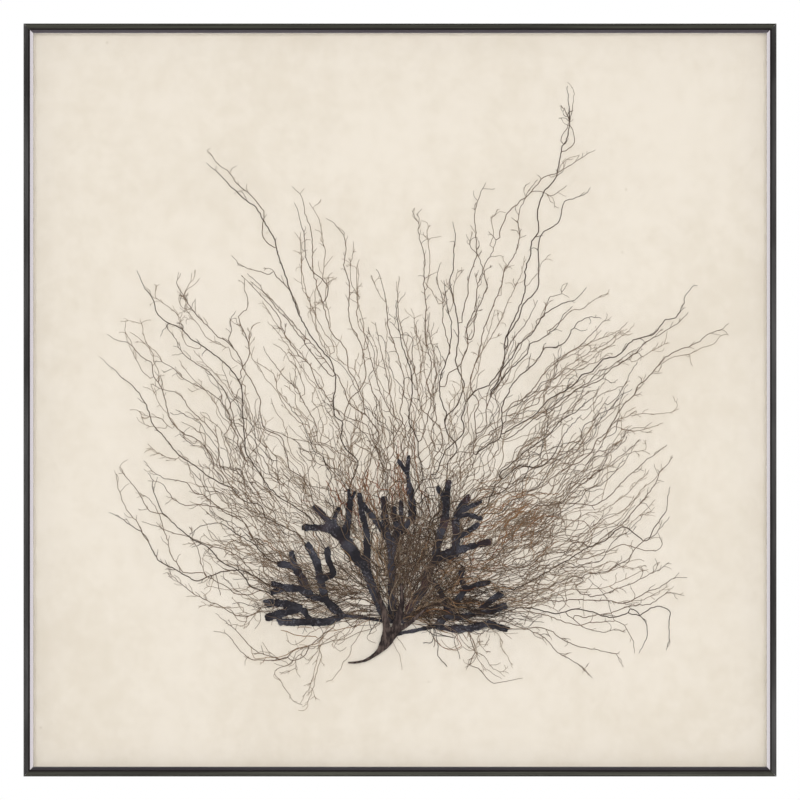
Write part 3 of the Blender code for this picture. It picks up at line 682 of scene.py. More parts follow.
TRACES: dict[str, dict[Look, list[list[Point]]]] = {
    "fan_upper_left": {
        Look.DARK: [
            [(136, 270), (144, 288), (152, 298), (155, 309), (158, 315), (167, 323), (175, 325), (182, 330),
             (190, 339), (199, 344), (218, 358), (231, 370), (241, 386), (242, 410), (244, 438), (245, 452),
             (254, 466), (270, 490)],
            [(107, 365), (115, 371), (122, 379), (131, 385), (140, 396), (147, 409), (152, 424), (164, 438),
             (179, 456), (193, 465), (210, 478), (228, 487)],
        ],
        Look.PLAIN: [
            [(180, 273), (176, 283), (183, 295), (186, 301), (193, 311), (204, 323), (216, 335), (227, 342),
             (238, 354), (242, 365)],
            [(106, 334), (116, 340), (126, 342), (133, 348), (140, 356), (151, 363), (152, 374), (159, 385),
             (164, 399), (167, 412), (172, 423), (182, 433), (192, 437), (202, 444), (211, 457), (213, 469)],
            [(165, 323), (167, 329), (175, 339), (178, 347), (185, 356), (196, 364), (207, 371), (216, 381),
             (225, 393), (230, 406), (234, 424), (239, 436)],
            [(153, 361), (161, 362), (171, 367), (181, 377), (192, 384), (207, 391), (218, 399), (227, 412),
             (231, 424), (235, 434)],
            [(150, 384), (161, 389), (174, 392), (182, 398), (186, 405), (193, 413), (202, 421), (213, 433),
             (218, 443), (218, 459), (220, 469), (230, 485)],
            [(235, 311), (230, 319), (231, 330), (228, 340)],
            [(241, 276), (244, 278), (244, 290), (247, 298), (246, 309), (238, 316), (242, 329), (247, 340),
             (249, 349), (247, 360), (242, 366)],
        ],
        Look.FINE: [
            [(155, 287), (155, 297), (171, 309), (179, 318), (182, 330)],
            [(191, 273), (190, 281), (185, 290)],
            [(199, 278), (195, 283), (188, 288), (184, 293)],
            [(185, 302), (186, 311), (193, 319), (199, 326), (204, 336), (214, 342), (223, 346), (228, 347)],
            [(125, 322), (124, 330), (129, 339), (133, 348)],
            [(129, 332), (137, 337), (145, 344), (152, 353), (153, 361)],
            [(131, 322), (140, 323), (142, 332), (144, 340), (151, 349)],
            [(129, 410), (136, 410), (141, 414), (149, 417)],
            [(141, 417), (144, 424), (148, 427), (153, 427)],
            [(150, 384), (154, 393), (159, 405), (168, 416), (179, 431)],
            [(147, 444), (154, 451), (165, 457), (175, 459), (179, 457)],
            [(260, 322), (252, 326), (249, 334), (249, 349)],
            [(193, 350), (201, 360), (212, 371), (224, 384), (233, 399)],
            [(181, 365), (190, 377), (203, 388), (214, 402), (222, 418)],
        ],
    },
    "fan_left": {
        Look.DARK: [
            [(147, 473), (152, 481), (152, 490), (157, 502), (162, 513), (173, 524), (188, 537)],
            [(108, 513), (117, 516), (126, 523), (142, 534), (147, 541), (152, 552), (159, 562), (169, 567),
             (180, 573), (191, 580), (198, 582), (206, 578), (220, 573), (232, 571), (241, 571), (251, 575),
             (271, 587)],
            [(188, 537), (197, 528), (211, 524), (220, 524), (230, 530), (240, 537), (253, 544), (267, 559),
             (279, 565)],
        ],
        Look.PLAIN: [
            [(143, 461), (151, 471), (161, 478), (174, 480), (186, 483)],
            [(119, 467), (128, 481), (138, 493), (143, 503), (150, 512), (157, 514), (162, 514)],
            [(115, 474), (117, 486), (122, 503), (128, 513), (135, 521), (142, 534)],
            [(139, 493), (152, 503), (159, 516), (163, 530), (167, 542), (170, 555), (177, 565), (182, 573)],
            [(190, 538), (198, 551), (201, 566), (206, 577)],
            [(147, 481), (159, 482), (167, 492), (174, 500), (185, 506), (199, 505), (213, 507), (230, 513),
             (241, 520), (253, 538), (264, 548), (278, 562)],
            [(141, 522), (157, 527), (174, 534), (188, 537), (199, 542), (212, 547), (227, 551), (236, 556),
             (246, 566), (257, 579), (271, 589)],
            [(167, 567), (170, 575), (180, 584), (194, 595), (211, 603), (222, 608), (232, 614), (241, 617),
             (250, 617)],
        ],
        Look.FINE: [
            [(205, 556), (216, 559), (226, 565), (236, 566), (246, 563), (263, 563), (279, 565)],
            [(206, 586), (219, 589), (234, 591), (247, 591), (254, 597), (265, 604)],
            [(237, 603), (240, 610), (247, 614), (254, 615), (263, 604)],
            [(233, 625), (240, 627), (247, 624), (253, 617), (263, 606)],
            [(198, 607), (209, 606), (222, 608)],
            [(218, 537), (223, 545), (233, 544), (238, 552), (232, 556), (224, 551), (228, 543), (242, 541),
             (256, 552)],
        ],
    },
    "fan_low_left": {
        Look.PLAIN: [
            [(215, 614), (225, 622), (236, 632), (246, 643), (258, 653), (277, 659)],
            [(213, 632), (225, 634), (232, 641), (240, 652), (251, 660), (276, 661), (281, 659)],
        ],
        Look.OCHRE: [
            [(250, 647), (254, 659), (269, 658), (281, 658), (294, 651), (305, 647), (317, 644), (328, 633)],
            [(302, 708), (307, 705), (311, 695), (316, 673), (321, 658), (319, 644), (326, 630)],
        ],
        Look.FINE: [
            [(302, 706), (295, 704), (289, 696), (283, 686), (274, 675)],
            [(302, 698), (308, 690), (313, 676), (319, 652)],
            [(274, 664), (284, 667), (291, 663), (298, 651), (312, 647)],
            [(279, 673), (284, 674), (295, 669), (296, 659), (305, 649)],
            [(262, 643), (268, 652), (277, 659)],
            [(326, 683), (331, 681), (338, 673), (342, 666), (350, 655), (351, 647), (358, 638), (365, 623)],
            [(376, 644), (368, 641), (367, 636), (372, 634), (376, 631), (373, 623)],
            [(402, 671), (399, 655), (393, 643)],
            [(406, 651), (400, 642)],
            [(330, 640), (338, 645), (345, 640), (341, 632), (334, 634), (338, 641), (350, 634), (358, 625)],
            [(286, 641), (294, 646), (303, 641), (309, 634), (321, 628)],
            [(346, 648), (340, 652), (334, 647), (339, 640), (347, 634), (352, 625)],
            [(300, 655), (308, 661), (315, 655), (321, 645), (333, 637), (347, 628)],
        ],
    },
    "fan_tall_left": {
        Look.DARK: [
            [(206, 162), (217, 172), (231, 187), (246, 200), (256, 207), (263, 220), (274, 238), (278, 256),
             (288, 284), (299, 315), (311, 336), (326, 356)],
        ],
        Look.PLAIN: [
            [(208, 151), (218, 164), (228, 171), (236, 183), (250, 194), (263, 210), (263, 220)],
            [(231, 255), (238, 263), (250, 269), (269, 274), (273, 270), (275, 275), (288, 288), (296, 303)],
            [(250, 281), (270, 298), (295, 326), (316, 349), (334, 372)],
            [(292, 186), (301, 196), (305, 213), (309, 223), (312, 239), (313, 272), (322, 302), (330, 330)],
            [(294, 202), (298, 213), (304, 238), (306, 259), (313, 272)],
            [(326, 218), (334, 223), (343, 234), (346, 249), (344, 265), (349, 281), (349, 293), (349, 319),
             (361, 345), (366, 372)],
            [(247, 273), (258, 283), (263, 292), (272, 302), (279, 312), (287, 319), (294, 329), (303, 340),
             (311, 353), (326, 371)],
            [(244, 278), (254, 288), (263, 298), (270, 305), (279, 318), (282, 329), (290, 344), (298, 354),
             (310, 365), (314, 377)],
            [(263, 346), (266, 354), (275, 365), (284, 377), (296, 389), (305, 405), (314, 421)],
        ],
        Look.FINE: [
            [(309, 202), (319, 220), (323, 242), (325, 251), (322, 279), (315, 291), (316, 326), (323, 340)],
            [(301, 253), (302, 288), (309, 298), (312, 319), (322, 345)],
            [(353, 241), (353, 258), (350, 266), (352, 286)],
            [(359, 259), (356, 274), (357, 290)],
            [(358, 269), (358, 303), (362, 318), (365, 340)],
            [(337, 277), (327, 283), (325, 298), (330, 318)],
            [(273, 344), (283, 350), (289, 360), (297, 368), (303, 385)],
            [(254, 362), (259, 367), (265, 379), (275, 389), (282, 402), (290, 413), (297, 420)],
            [(300, 232), (301, 262), (305, 290), (313, 311), (325, 334)],
            [(262, 301), (275, 322), (287, 338), (300, 352), (312, 369)],
            [(271, 325), (284, 341), (297, 361), (311, 381)],
        ],
    },
    "fan_top": {
        Look.DARK: [
            [(396, 300), (397, 318), (402, 345), (411, 371), (412, 395), (409, 420), (419, 444)],
            [(453, 221), (455, 234), (454, 254), (453, 270), (450, 283), (455, 304), (459, 332), (456, 362),
             (464, 384), (458, 404)],
            [(444, 280), (447, 305), (452, 328), (449, 352), (441, 376), (440, 396), (446, 412)],
        ],
        Look.PLAIN: [
            [(376, 269), (380, 277), (386, 301), (388, 326), (397, 352), (404, 380), (402, 405)],
            [(399, 276), (398, 295), (399, 319), (407, 350), (416, 378), (420, 402)],
            [(418, 212), (419, 235), (424, 254), (424, 281), (426, 309), (425, 335), (432, 365)],
            [(440, 264), (437, 279), (443, 300), (443, 322), (449, 344)],
            [(430, 312), (428, 331), (434, 352), (436, 374), (433, 396), (437, 420)],
            [(486, 182), (478, 200), (475, 212), (476, 235)],
            [(478, 238), (475, 237), (470, 241), (472, 248), (478, 254), (483, 270), (478, 284), (475, 309),
             (467, 326), (468, 345), (462, 361)],
            [(489, 231), (496, 240), (493, 251), (485, 264), (484, 272), (487, 286), (478, 309), (474, 322)],
            [(360, 318), (366, 341), (373, 366), (380, 391), (391, 414)],
            [(375, 322), (380, 346), (386, 372), (391, 398), (396, 420)],
        ],
        Look.FINE: [
            [(371, 275), (374, 283), (379, 294)],
            [(427, 231), (430, 263), (427, 283)],
            [(498, 209), (492, 220), (494, 236)],
            [(462, 270), (456, 279), (453, 290)],
            [(441, 280), (450, 290), (454, 302)],
            [(414, 315), (416, 338), (421, 362), (419, 386)],
            [(424, 322), (426, 345), (424, 368), (429, 392)],
            [(385, 318), (387, 338), (385, 360), (392, 380)],
            [(368, 330), (377, 350), (376, 372), (384, 390)],
            [(434, 322), (431, 340), (438, 362)],
        ],
        Look.RED: [
            [(414, 410), (414, 443), (416, 466), (419, 483), (421, 493)],
            [(397, 440), (399, 462), (398, 482), (400, 500)],
        ],
    },
    "fan_tall_right": {
        Look.DARK: [
            [(568, 85), (569, 100), (570, 122), (567, 140), (563, 145), (561, 154), (558, 171), (555, 179),
             (544, 192), (538, 212), (539, 231), (532, 241), (531, 254), (526, 267), (525, 292), (519, 309),
             (506, 338), (505, 355), (502, 368), (489, 385)],
            [(591, 187), (585, 194), (565, 201), (562, 212), (558, 223), (544, 231), (539, 243), (539, 266),
             (538, 289), (524, 304), (518, 320), (507, 337)],
        ],
        Look.PLAIN: [
            [(575, 93), (573, 104), (570, 122)],
            [(561, 104), (567, 112), (570, 122)],
            [(596, 149), (582, 157), (570, 165), (558, 172)],
            [(567, 185), (553, 195), (544, 192)],
            [(538, 179), (530, 189), (521, 208), (518, 223), (520, 234), (516, 252), (505, 270), (502, 284),
             (493, 307), (484, 330), (480, 350), (473, 372)],
            [(477, 305), (475, 315), (467, 327), (468, 345), (461, 365), (463, 390)],
            [(480, 300), (474, 320), (467, 328)],
            [(538, 300), (528, 320), (519, 332), (509, 346), (501, 370)],
        ],
        Look.FINE: [
            [(574, 158), (564, 161), (558, 172)],
            [(551, 254), (542, 262), (539, 272)],
            [(506, 264), (503, 275), (502, 286)],
            [(525, 256), (521, 275), (510, 298), (500, 322), (486, 345), (474, 367), (468, 392)],
            [(552, 300), (545, 308), (541, 318), (536, 328)],
            [(495, 310), (490, 330), (482, 352), (478, 370), (470, 388)],
        ],
    },
    "fan_right_upper": {
        Look.DARK: [
            [(587, 287), (580, 296), (575, 300), (563, 303), (554, 308), (544, 316), (538, 324), (533, 333),
             (520, 344), (512, 358), (502, 370), (497, 384)],
            [(573, 306), (563, 316), (558, 326), (548, 334), (540, 340), (531, 344), (527, 353), (520, 361),
             (508, 372), (497, 386)],
            [(602, 318), (589, 317), (579, 322), (572, 330), (568, 340), (559, 346), (545, 348), (540, 357),
             (531, 367), (520, 376), (509, 389)],
            [(695, 285), (686, 295), (685, 303), (677, 317), (666, 320), (660, 327), (655, 334), (632, 341),
             (624, 351), (617, 357), (604, 359), (593, 371), (582, 375), (576, 383), (566, 390), (549, 400),
             (534, 416), (520, 424)],
        ],
        Look.PLAIN: [
            [(568, 283), (561, 294), (551, 296), (547, 306), (543, 316)],
            [(603, 295), (593, 301), (583, 309), (572, 310), (563, 319), (555, 326)],
            [(689, 312), (680, 322), (669, 329), (655, 337), (645, 344), (635, 354), (618, 365), (611, 369),
             (603, 378), (590, 385), (579, 389), (566, 397), (549, 409), (533, 420), (519, 431)],
            [(611, 320), (604, 321), (596, 330), (589, 337), (580, 346), (569, 353), (556, 363), (543, 375),
             (532, 391), (520, 401)],
            [(640, 347), (624, 357), (612, 366), (600, 371), (588, 383), (575, 391), (560, 405), (545, 416)],
        ],
        Look.FINE: [
            [(628, 322), (618, 333), (606, 344), (593, 351), (576, 361), (561, 371), (548, 384)],
            [(634, 326), (622, 336), (609, 347)],
            [(668, 331), (665, 344), (655, 349), (640, 358)],
            [(620, 330), (606, 337), (592, 342), (578, 352), (562, 360), (551, 372)],
            [(602, 330), (590, 343), (575, 349), (560, 358), (548, 367)],
            [(616, 345), (601, 350), (588, 362), (572, 372), (556, 388)],
        ],
    },
    "fan_right": {
        Look.DARK: [
            [(582, 415), (573, 424), (565, 434), (561, 441), (555, 454), (548, 462), (538, 468), (520, 466),
             (505, 478), (494, 487)],
            [(600, 386), (596, 396), (584, 404), (576, 413), (563, 419), (551, 433), (541, 441), (528, 450)],
            [(671, 487), (668, 499), (668, 508), (660, 522), (653, 531), (650, 539), (644, 541), (635, 534),
             (625, 527), (616, 531), (609, 539), (602, 543), (584, 550), (570, 560), (556, 567), (538, 578),
             (514, 590)],
            [(528, 453), (535, 452), (541, 458), (542, 465), (534, 468), (524, 467), (515, 471), (510, 484),
             (500, 494), (483, 498)],
        ],
        Look.PLAIN: [
            [(730, 323), (721, 330), (708, 334), (701, 341), (690, 346), (679, 350), (667, 357), (660, 364),
             (655, 371), (645, 381), (639, 385), (635, 395), (625, 404), (617, 416), (611, 426), (607, 433),
             (597, 441), (593, 451), (582, 461), (566, 469), (550, 480)],
            [(674, 457), (668, 465), (660, 473), (656, 484), (647, 496), (637, 508), (623, 524), (609, 534),
             (594, 546)],
            [(660, 536), (663, 545), (658, 551), (646, 551), (629, 546), (619, 546), (608, 552), (595, 557),
             (581, 560)],
            [(668, 445), (657, 454), (646, 461), (635, 472), (623, 482), (611, 496), (598, 504)],
            [(608, 398), (600, 411), (594, 424), (589, 433), (584, 441), (576, 452), (566, 460)],
            [(688, 578), (674, 579), (661, 588), (649, 592), (635, 600), (623, 604), (609, 601), (591, 601),
             (573, 600), (559, 602), (545, 600)],
            [(670, 563), (660, 571), (650, 575), (635, 583), (621, 588), (604, 595), (591, 597), (579, 593),
             (576, 587), (584, 581), (575, 577), (560, 583)],
            [(670, 517), (663, 527), (655, 536)],
        ],
        Look.FINE: [
            [(729, 334), (721, 336), (715, 344), (704, 347), (691, 354), (673, 357), (662, 364)],
            [(680, 409), (671, 413), (657, 414), (643, 414), (636, 415), (637, 411), (632, 414), (628, 417),
             (617, 420), (609, 432)],
            [(664, 423), (650, 428), (638, 431), (627, 430), (615, 427), (605, 437)],
            [(603, 397), (600, 404), (592, 412)],
            [(646, 450), (635, 452), (625, 456), (612, 466), (598, 473), (587, 482)],
            [(649, 473), (638, 482), (629, 493), (616, 503), (601, 512)],
            [(645, 562), (640, 560), (633, 561), (622, 567), (616, 563), (608, 563), (598, 567), (584, 573),
             (570, 574)],
            [(647, 566), (635, 569), (623, 567), (612, 571), (605, 574), (588, 573)],
            [(649, 570), (642, 572), (626, 580), (616, 584), (607, 588), (588, 590), (570, 590), (556, 594),
             (543, 599), (528, 603), (511, 607)],
            [(669, 587), (656, 594), (642, 601), (625, 602)],
            [(656, 500), (645, 512), (634, 521), (620, 536), (604, 540), (589, 552)],
            [(664, 468), (655, 480), (644, 488), (634, 501), (621, 513), (607, 519), (593, 530)],
            [(640, 440), (630, 450), (617, 459), (604, 469), (590, 473), (576, 484)],
        ],
    },
    "fan_low_right": {
        Look.DARK: [
            [(667, 651), (670, 639), (670, 625), (670, 612), (661, 607), (651, 609), (640, 616), (629, 614),
             (616, 618), (601, 616), (590, 612), (573, 610), (559, 614), (545, 612), (532, 609), (517, 609),
             (500, 615)],
            [(640, 654), (647, 640), (648, 630), (646, 622), (640, 616)],
        ],
        Look.PLAIN: [
            [(635, 654), (633, 640), (630, 635), (625, 626), (616, 622), (601, 623), (590, 623), (580, 626),
             (563, 622), (546, 616), (529, 612), (512, 613)],
            [(626, 633), (616, 630), (604, 633), (590, 630), (580, 626)],
            [(620, 662), (617, 655), (592, 650), (576, 646), (562, 640), (556, 635), (546, 629), (535, 628),
             (525, 630), (508, 629), (495, 625)],
            [(593, 679), (580, 666), (558, 653), (543, 637), (527, 630), (512, 625)],
            [(685, 596), (675, 594), (667, 594), (651, 605), (640, 606), (626, 608), (612, 614), (601, 615)],
            [(523, 679), (494, 684), (486, 678), (478, 669), (470, 666), (475, 653), (472, 643), (468, 630)],
        ],
        Look.FINE: [
            [(513, 666), (502, 649), (500, 637), (492, 630), (484, 622)],
            [(465, 668), (470, 666), (478, 656), (475, 645)],
            [(502, 680), (488, 671), (478, 659), (474, 643)],
            [(509, 674), (494, 670), (484, 657), (476, 653)],
            [(441, 640), (447, 647), (456, 652), (463, 648), (470, 652), (480, 645), (478, 636), (466, 632)],
            [(433, 637), (440, 646), (450, 650), (459, 645), (455, 637), (446, 633)],
            [(490, 640), (483, 648), (477, 640), (484, 632)],
            [(512, 640), (505, 634), (496, 627)],
        ],
        Look.RED: [
            [(434, 640), (443, 648), (452, 651), (462, 647), (458, 639)],
        ],
    },
}


def value_noise(rng: np.random.Generator, length: float, wave: float, samples: np.ndarray) -> np.ndarray:
    """Smooth random numbers between about -1 and 1 along a line.

    Args:
        rng: The source of the random numbers.
        length: The line's length.
        wave: The spacing of the random knots.
        samples: Where along the line to read.

    Returns:
        One number for each sample.
    """
    knots = rng.uniform(-1, 1, int(length / wave) + 4)
    where = samples / wave + rng.uniform(0, 1)
    low = np.clip(where.astype(int), 0, len(knots) - 2)
    share = np.clip(where - low, 0, 1)
    share = share * share * (3 - 2 * share)
    return knots[low] * (1 - share) + knots[low + 1] * share


def smooth_path(points: Sequence[Point], spacing: float) -> np.ndarray:
    """A line through points that keeps their kinks a little rounded.

    Args:
        points: The points to pass, in order.
        spacing: The distance between the line's own points.

    Returns:
        The line, as rows of x and y.
    """
    given = np.array(points, dtype=float)
    before = np.vstack([2 * given[0] - given[1], given, 2 * given[-1] - given[-2]])
    line = []
    for number in range(len(given) - 1):
        a, b, c, d = before[number : number + 4]
        steps = max(2, int(np.linalg.norm(c - b) / spacing))
        t = (np.arange(steps) / steps)[:, None]
        tangent_b = (c - a) * 0.36
        tangent_c = (d - b) * 0.36
        line.append(
            b * (2 * t**3 - 3 * t**2 + 1)
            + tangent_b * (t**3 - 2 * t**2 + t)
            + c * (3 * t**2 - 2 * t**3)
            + tangent_c * (t**3 - t**2)
        )
    line.append(given[-1:])
    return np.vstack(line)


@dataclass
class Strand:
    """One thread, from its tip inwards: places in steps, heights and radii in metres, and its tint."""

    fork: str
    places: np.ndarray
    radii: np.ndarray
    tint: float
    over: bool = False
    twiggy: float = 0.7


@dataclass(frozen=True)
class Tuft:
    """A patch of short threads of one tint: its middle and spread in steps, and how many there are."""

    middle: Point
    spread: Point
    count: int
    tint: float


@dataclass(frozen=True)
class Curl:
    """How a short curly thread winds.

    Attributes:
        scatter: How far its first heading strays, in radians.
        turn: How much it turns the same way at each link.
        shake: How much each link strays.
        links: The least and the greatest number of links.
        link: A link's length.
    """

    scatter: float
    turn: float
    shake: float
    links: tuple[int, int]
    link: float


@dataclass
class Growth:
    """The thread-like branches: the traced ones, run on to the base, and finer ones that fill between them.

    Attributes:
        seed: The start of the random numbers.
        base: Where the threads run to.
        spacing: The distance between a thread's points.
        cell: The side of a cell of the grid in which threads find each other.
        flow_reach: How far a traced thread guides others.
        wander: Wave lengths along a thread, and the turn in radians that each one adds.
        calm_reach: The distance from the base within which threads wander less.
        crowd: The distance within which threads push each other aside.
        free_reach: The distance from the base within which they don't.
        push_share: How much of the push turns a thread.
        push_limit: The greatest such turn, in radians.
        heart_reach: The distance from the base within which threads may join each other early.
        early_join: The length from which they may do so.
        join_gaps: The gap over which a thread joins another, within that distance and outside it.
        end_reach: The distance from the base at which a thread ends.
        longest: The greatest length of a thread.
        thickening: The length over which a thread grows thicker.
        over_share: The share of threads that rise over the fronds.
        twig_share: Twigs for each step of a twiggy thread.
        twig_reach: How far from the tip twigs stand, at most.
        twig_size: The longest twig.
        envelope: The outline of the dense part.
        fillers: How many places in the dense part are tried for finer threads.
        thin_top, thin_low: The share of them that is kept near the top and near the two lower ends.
        top_angle, low_angle: Where these two begin, in radians from straight up.
        filler_reach: Where in the dense part finer threads start, as shares of the way to its outline.
        filler_alone: How far they run before they may join another.
        tint: The usual place on the thread ramp, and its spread.
        inner_shade: How much darker the finer threads near the base are.
        clear_patch: The left, right and top of the bare sheet under the base.
        wisps: How many very fine threads are scattered, up to wisp_angle from straight up.
        tangled: How many curly threads are tried for the dense heart, within tangle_bounds.
        tangle_tints, tangle_shares: Their tints, and how often each one comes.
        tangle_over: The middle and half width of the band where some rise over the fronds, and their share.
    """

    seed: int = 5
    base: Point = (396.0, 628.0)
    spacing: float = 3.0
    cell: int = 6
    flow_reach: float = 22.0
    wander: tuple[Point, ...] = ((16, 0.62), (5, 0.42))
    calm_reach: float = 150.0
    crowd: float = 3.4
    free_reach: float = 60.0
    push_share: float = 0.35
    push_limit: float = 0.5
    heart_reach: float = 110.0
    early_join: float = 30.0
    join_gaps: Point = (6.0, 5.0)
    end_reach: float = 14.0
    longest: float = 420.0
    thickening: float = 45.0
    plain_radius: float = 0.34 * MM
    tip_radius: float = 0.15 * MM
    over_share: float = 0.12
    twig_share: float = 0.13
    twig_reach: float = 150.0
    twig_size: float = 15.0
    envelope: tuple[Point, ...] = (
        (262, 622), (232, 585), (205, 540), (188, 480), (182, 430), (200, 380), (245, 368), (280, 372),
        (300, 350), (330, 330), (360, 340), (385, 330), (410, 330), (440, 320), (470, 330), (500, 330),
        (520, 345), (560, 345), (590, 345), (630, 360), (625, 400), (648, 440), (655, 480), (640, 520),
        (610, 560), (580, 590), (560, 612), (530, 632),
    )
    fillers: int = 800
    filler_reach: Point = (0.24, 1.04)
    filler_alone: Point = (45.0, 170.0)
    filler_thickness: Point = (0.50, 0.86)
    filler_twigs: float = 0.4
    thin_top: float = 0.55
    thin_low: float = 0.8
    top_angle: float = 0.5
    low_angle: float = 1.0
    tint: Point = (0.46, 0.12)
    inner_shade: float = 0.14
    clear_patch: tuple[float, float, float] = (345, 455, 634)
    wisps: int = 200
    wisp_angle: float = 1.45
    wisp_reach: Point = (70.0, 215.0)
    wisp_radius: Point = (0.15 * MM, 0.24 * MM)
    wisp_curl: Curl = Curl(0.7, 0.06, 0.22, (8, 24), 2.6)
    tangled: int = 430
    tangle_middle: Point = (410.0, 570.0)
    tangle_spread: Point = (24.0, 36.0)
    tangle_bounds: tuple[Point, Point] = ((352.0, 500.0), (498.0, 618.0))
    tangle_radius: float = 0.26 * MM
    tangle_curl: Curl = Curl(0.5, 0.09, 0.30, (8, 26), 2.4)
    tangle_tints: tuple[float, ...] = (0.08, 0.2, 0.32, 0.42, 0.55, 0.76)
    tangle_shares: tuple[float, ...] = (0.25, 0.25, 0.22, 0.14, 0.1, 0.04)
    tangle_over: tuple[float, float, float] = (414.0, 24.0, 0.6)
    tuft_length: Point = (15.0, 50.0)
    tuft_radius: Point = (0.20 * MM, 0.32 * MM)
    tufts: tuple[Tuft, ...] = (
        Tuft((516, 508), (22, 13), 66, 0.82),
        Tuft((542, 528), (16, 18), 44, 0.50),
        Tuft((392, 428), (16, 14), 16, 0.50),
        Tuft((350, 478), (16, 9), 26, 0.90),
        Tuft((358, 536), (6, 12), 16, 0.78),
        Tuft((398, 474), (8, 10), 14, 0.88),
        Tuft((478, 560), (22, 20), 60, 0.82),
        Tuft((446, 606), (26, 14), 60, 0.78),
        Tuft((376, 560), (16, 26), 50, 0.74),
        Tuft((408, 560), (22, 34), 120, 0.30),
        Tuft((472, 606), (20, 12), 150, 0.10),
        Tuft((440, 618), (20, 4), 40, 0.16),
        Tuft((392, 606), (5, 8), 14, 0.30),
        Tuft((306, 586), (24, 20), 60, 0.30),
        Tuft((300, 580), (30, 24), 40, 0.70),
    )
    strands: list[Strand] = field(default_factory=list)
    grid: dict[tuple[int, int], list[tuple[float, float, float, float]]] = field(default_factory=dict)

    def __post_init__(self) -> None:
        """Set up the random numbers and the flow that threads follow."""
        self.rng = np.random.default_rng(self.seed)
        self.flow_points = np.empty((0, 2))
        self.flow_ways = np.empty((0, 2))
        self.flow_forks: list[str] = []

    def read_flow(self) -> None:
        """Note where the traced threads pass and which way they run inwards."""
        points, ways = [], []
        for fork, looks in TRACES.items():
            for traces in looks.values():
                for trace in traces:
                    line = smooth_path(trace, 6)
                    way = np.diff(line, axis=0)
                    way /= np.linalg.norm(way, axis=1, keepdims=True)
                    points.append(line[:-1])
                    ways.append(way)
                    self.flow_forks += [fork] * len(way)
        self.flow_points = np.vstack(points)
        self.flow_ways = np.vstack(ways)

    def way_in(self, place: np.ndarray) -> np.ndarray:
        """The direction that threads run inwards at a place."""
        to_base = np.array(self.base) - place
        distance = np.linalg.norm(to_base) + 1e-6
        away = np.sum((self.flow_points - place) ** 2, axis=1)
        weights = np.exp(-away / (2 * self.flow_reach**2))
        aligned = self.flow_ways @ (to_base / distance)
        weights = weights * np.clip(aligned + 0.3, 0, 1)
        pull = weights @ self.flow_ways
        way = pull / (weights.sum() + 1e-6) * min(1.0, weights.sum() * 0.5)
        way = way + to_base / distance * (0.55 + 0.6 * math.exp(-distance / 90))
        return way / np.linalg.norm(way)

    def fork_at(self, place: np.ndarray) -> str:
        """The fork of the traced thread nearest to a place."""
        return self.flow_forks[int(np.argmin(np.sum((self.flow_points - place) ** 2, axis=1)))]

    def cell_of(self, place: Sequence[float]) -> tuple[int, int]:
        """The cell of the grid that a place lies in."""
        return int(place[0] // self.cell), int(place[1] // self.cell)

    def remember(self, places: np.ndarray) -> None:
        """File a thread's points in the grid that others look up."""
        for here, after in zip(places[:-1], places[1:]):
            way = after - here
            way = way / (np.linalg.norm(way) + 1e-9)
            self.grid.setdefault(self.cell_of(here), []).append((here[0], here[1], way[0], way[1]))

    def near(self, place: np.ndarray, way: np.ndarray) -> Iterator[tuple[float, float, float, float, float]]:
        """Look up the points of threads around a place.

        Args:
            place: The place.
            way: The direction that counts as ahead.

        Yields:
            Each point's across and down, how far ahead and aside it is, and how far its thread runs ahead.
        """
        column, row = self.cell_of(place)
        for x in (column - 1, column, column + 1):
            for y in (row - 1, row, row + 1):
                for px, py, wx, wy in self.grid.get((x, y), ()):
                    ahead = (px - place[0]) * way[0] + (py - place[1]) * way[1]
                    aside = (px - place[0]) * -way[1] + (py - place[1]) * way[0]
                    yield px, py, ahead, aside, wx * way[0] + wy * way[1]

    def meets(self, place: np.ndarray, way: np.ndarray, reach: float) -> np.ndarray | None:
        """A point just ahead on another thread that this one could join."""
        best, found = reach, None
        for px, py, ahead, _, aligned in self.near(place, way):
            gap = math.hypot(px - place[0], py - place[1])
            if ahead >= 0.5 and aligned >= 0.75 and gap < best:
                best, found = gap, np.array((px, py))
        return found

    def push(self, place: np.ndarray, way: np.ndarray) -> float:
        """How hard, and to which side, the threads close beside a place push it away."""
        total = 0.0
        for _, _, ahead, aside, aligned in self.near(place, way):
            if abs(ahead) < 2.2 and abs(aside) < self.crowd and aligned > 0.8:
                total -= math.copysign(1 - abs(aside) / self.crowd, aside)
        return total

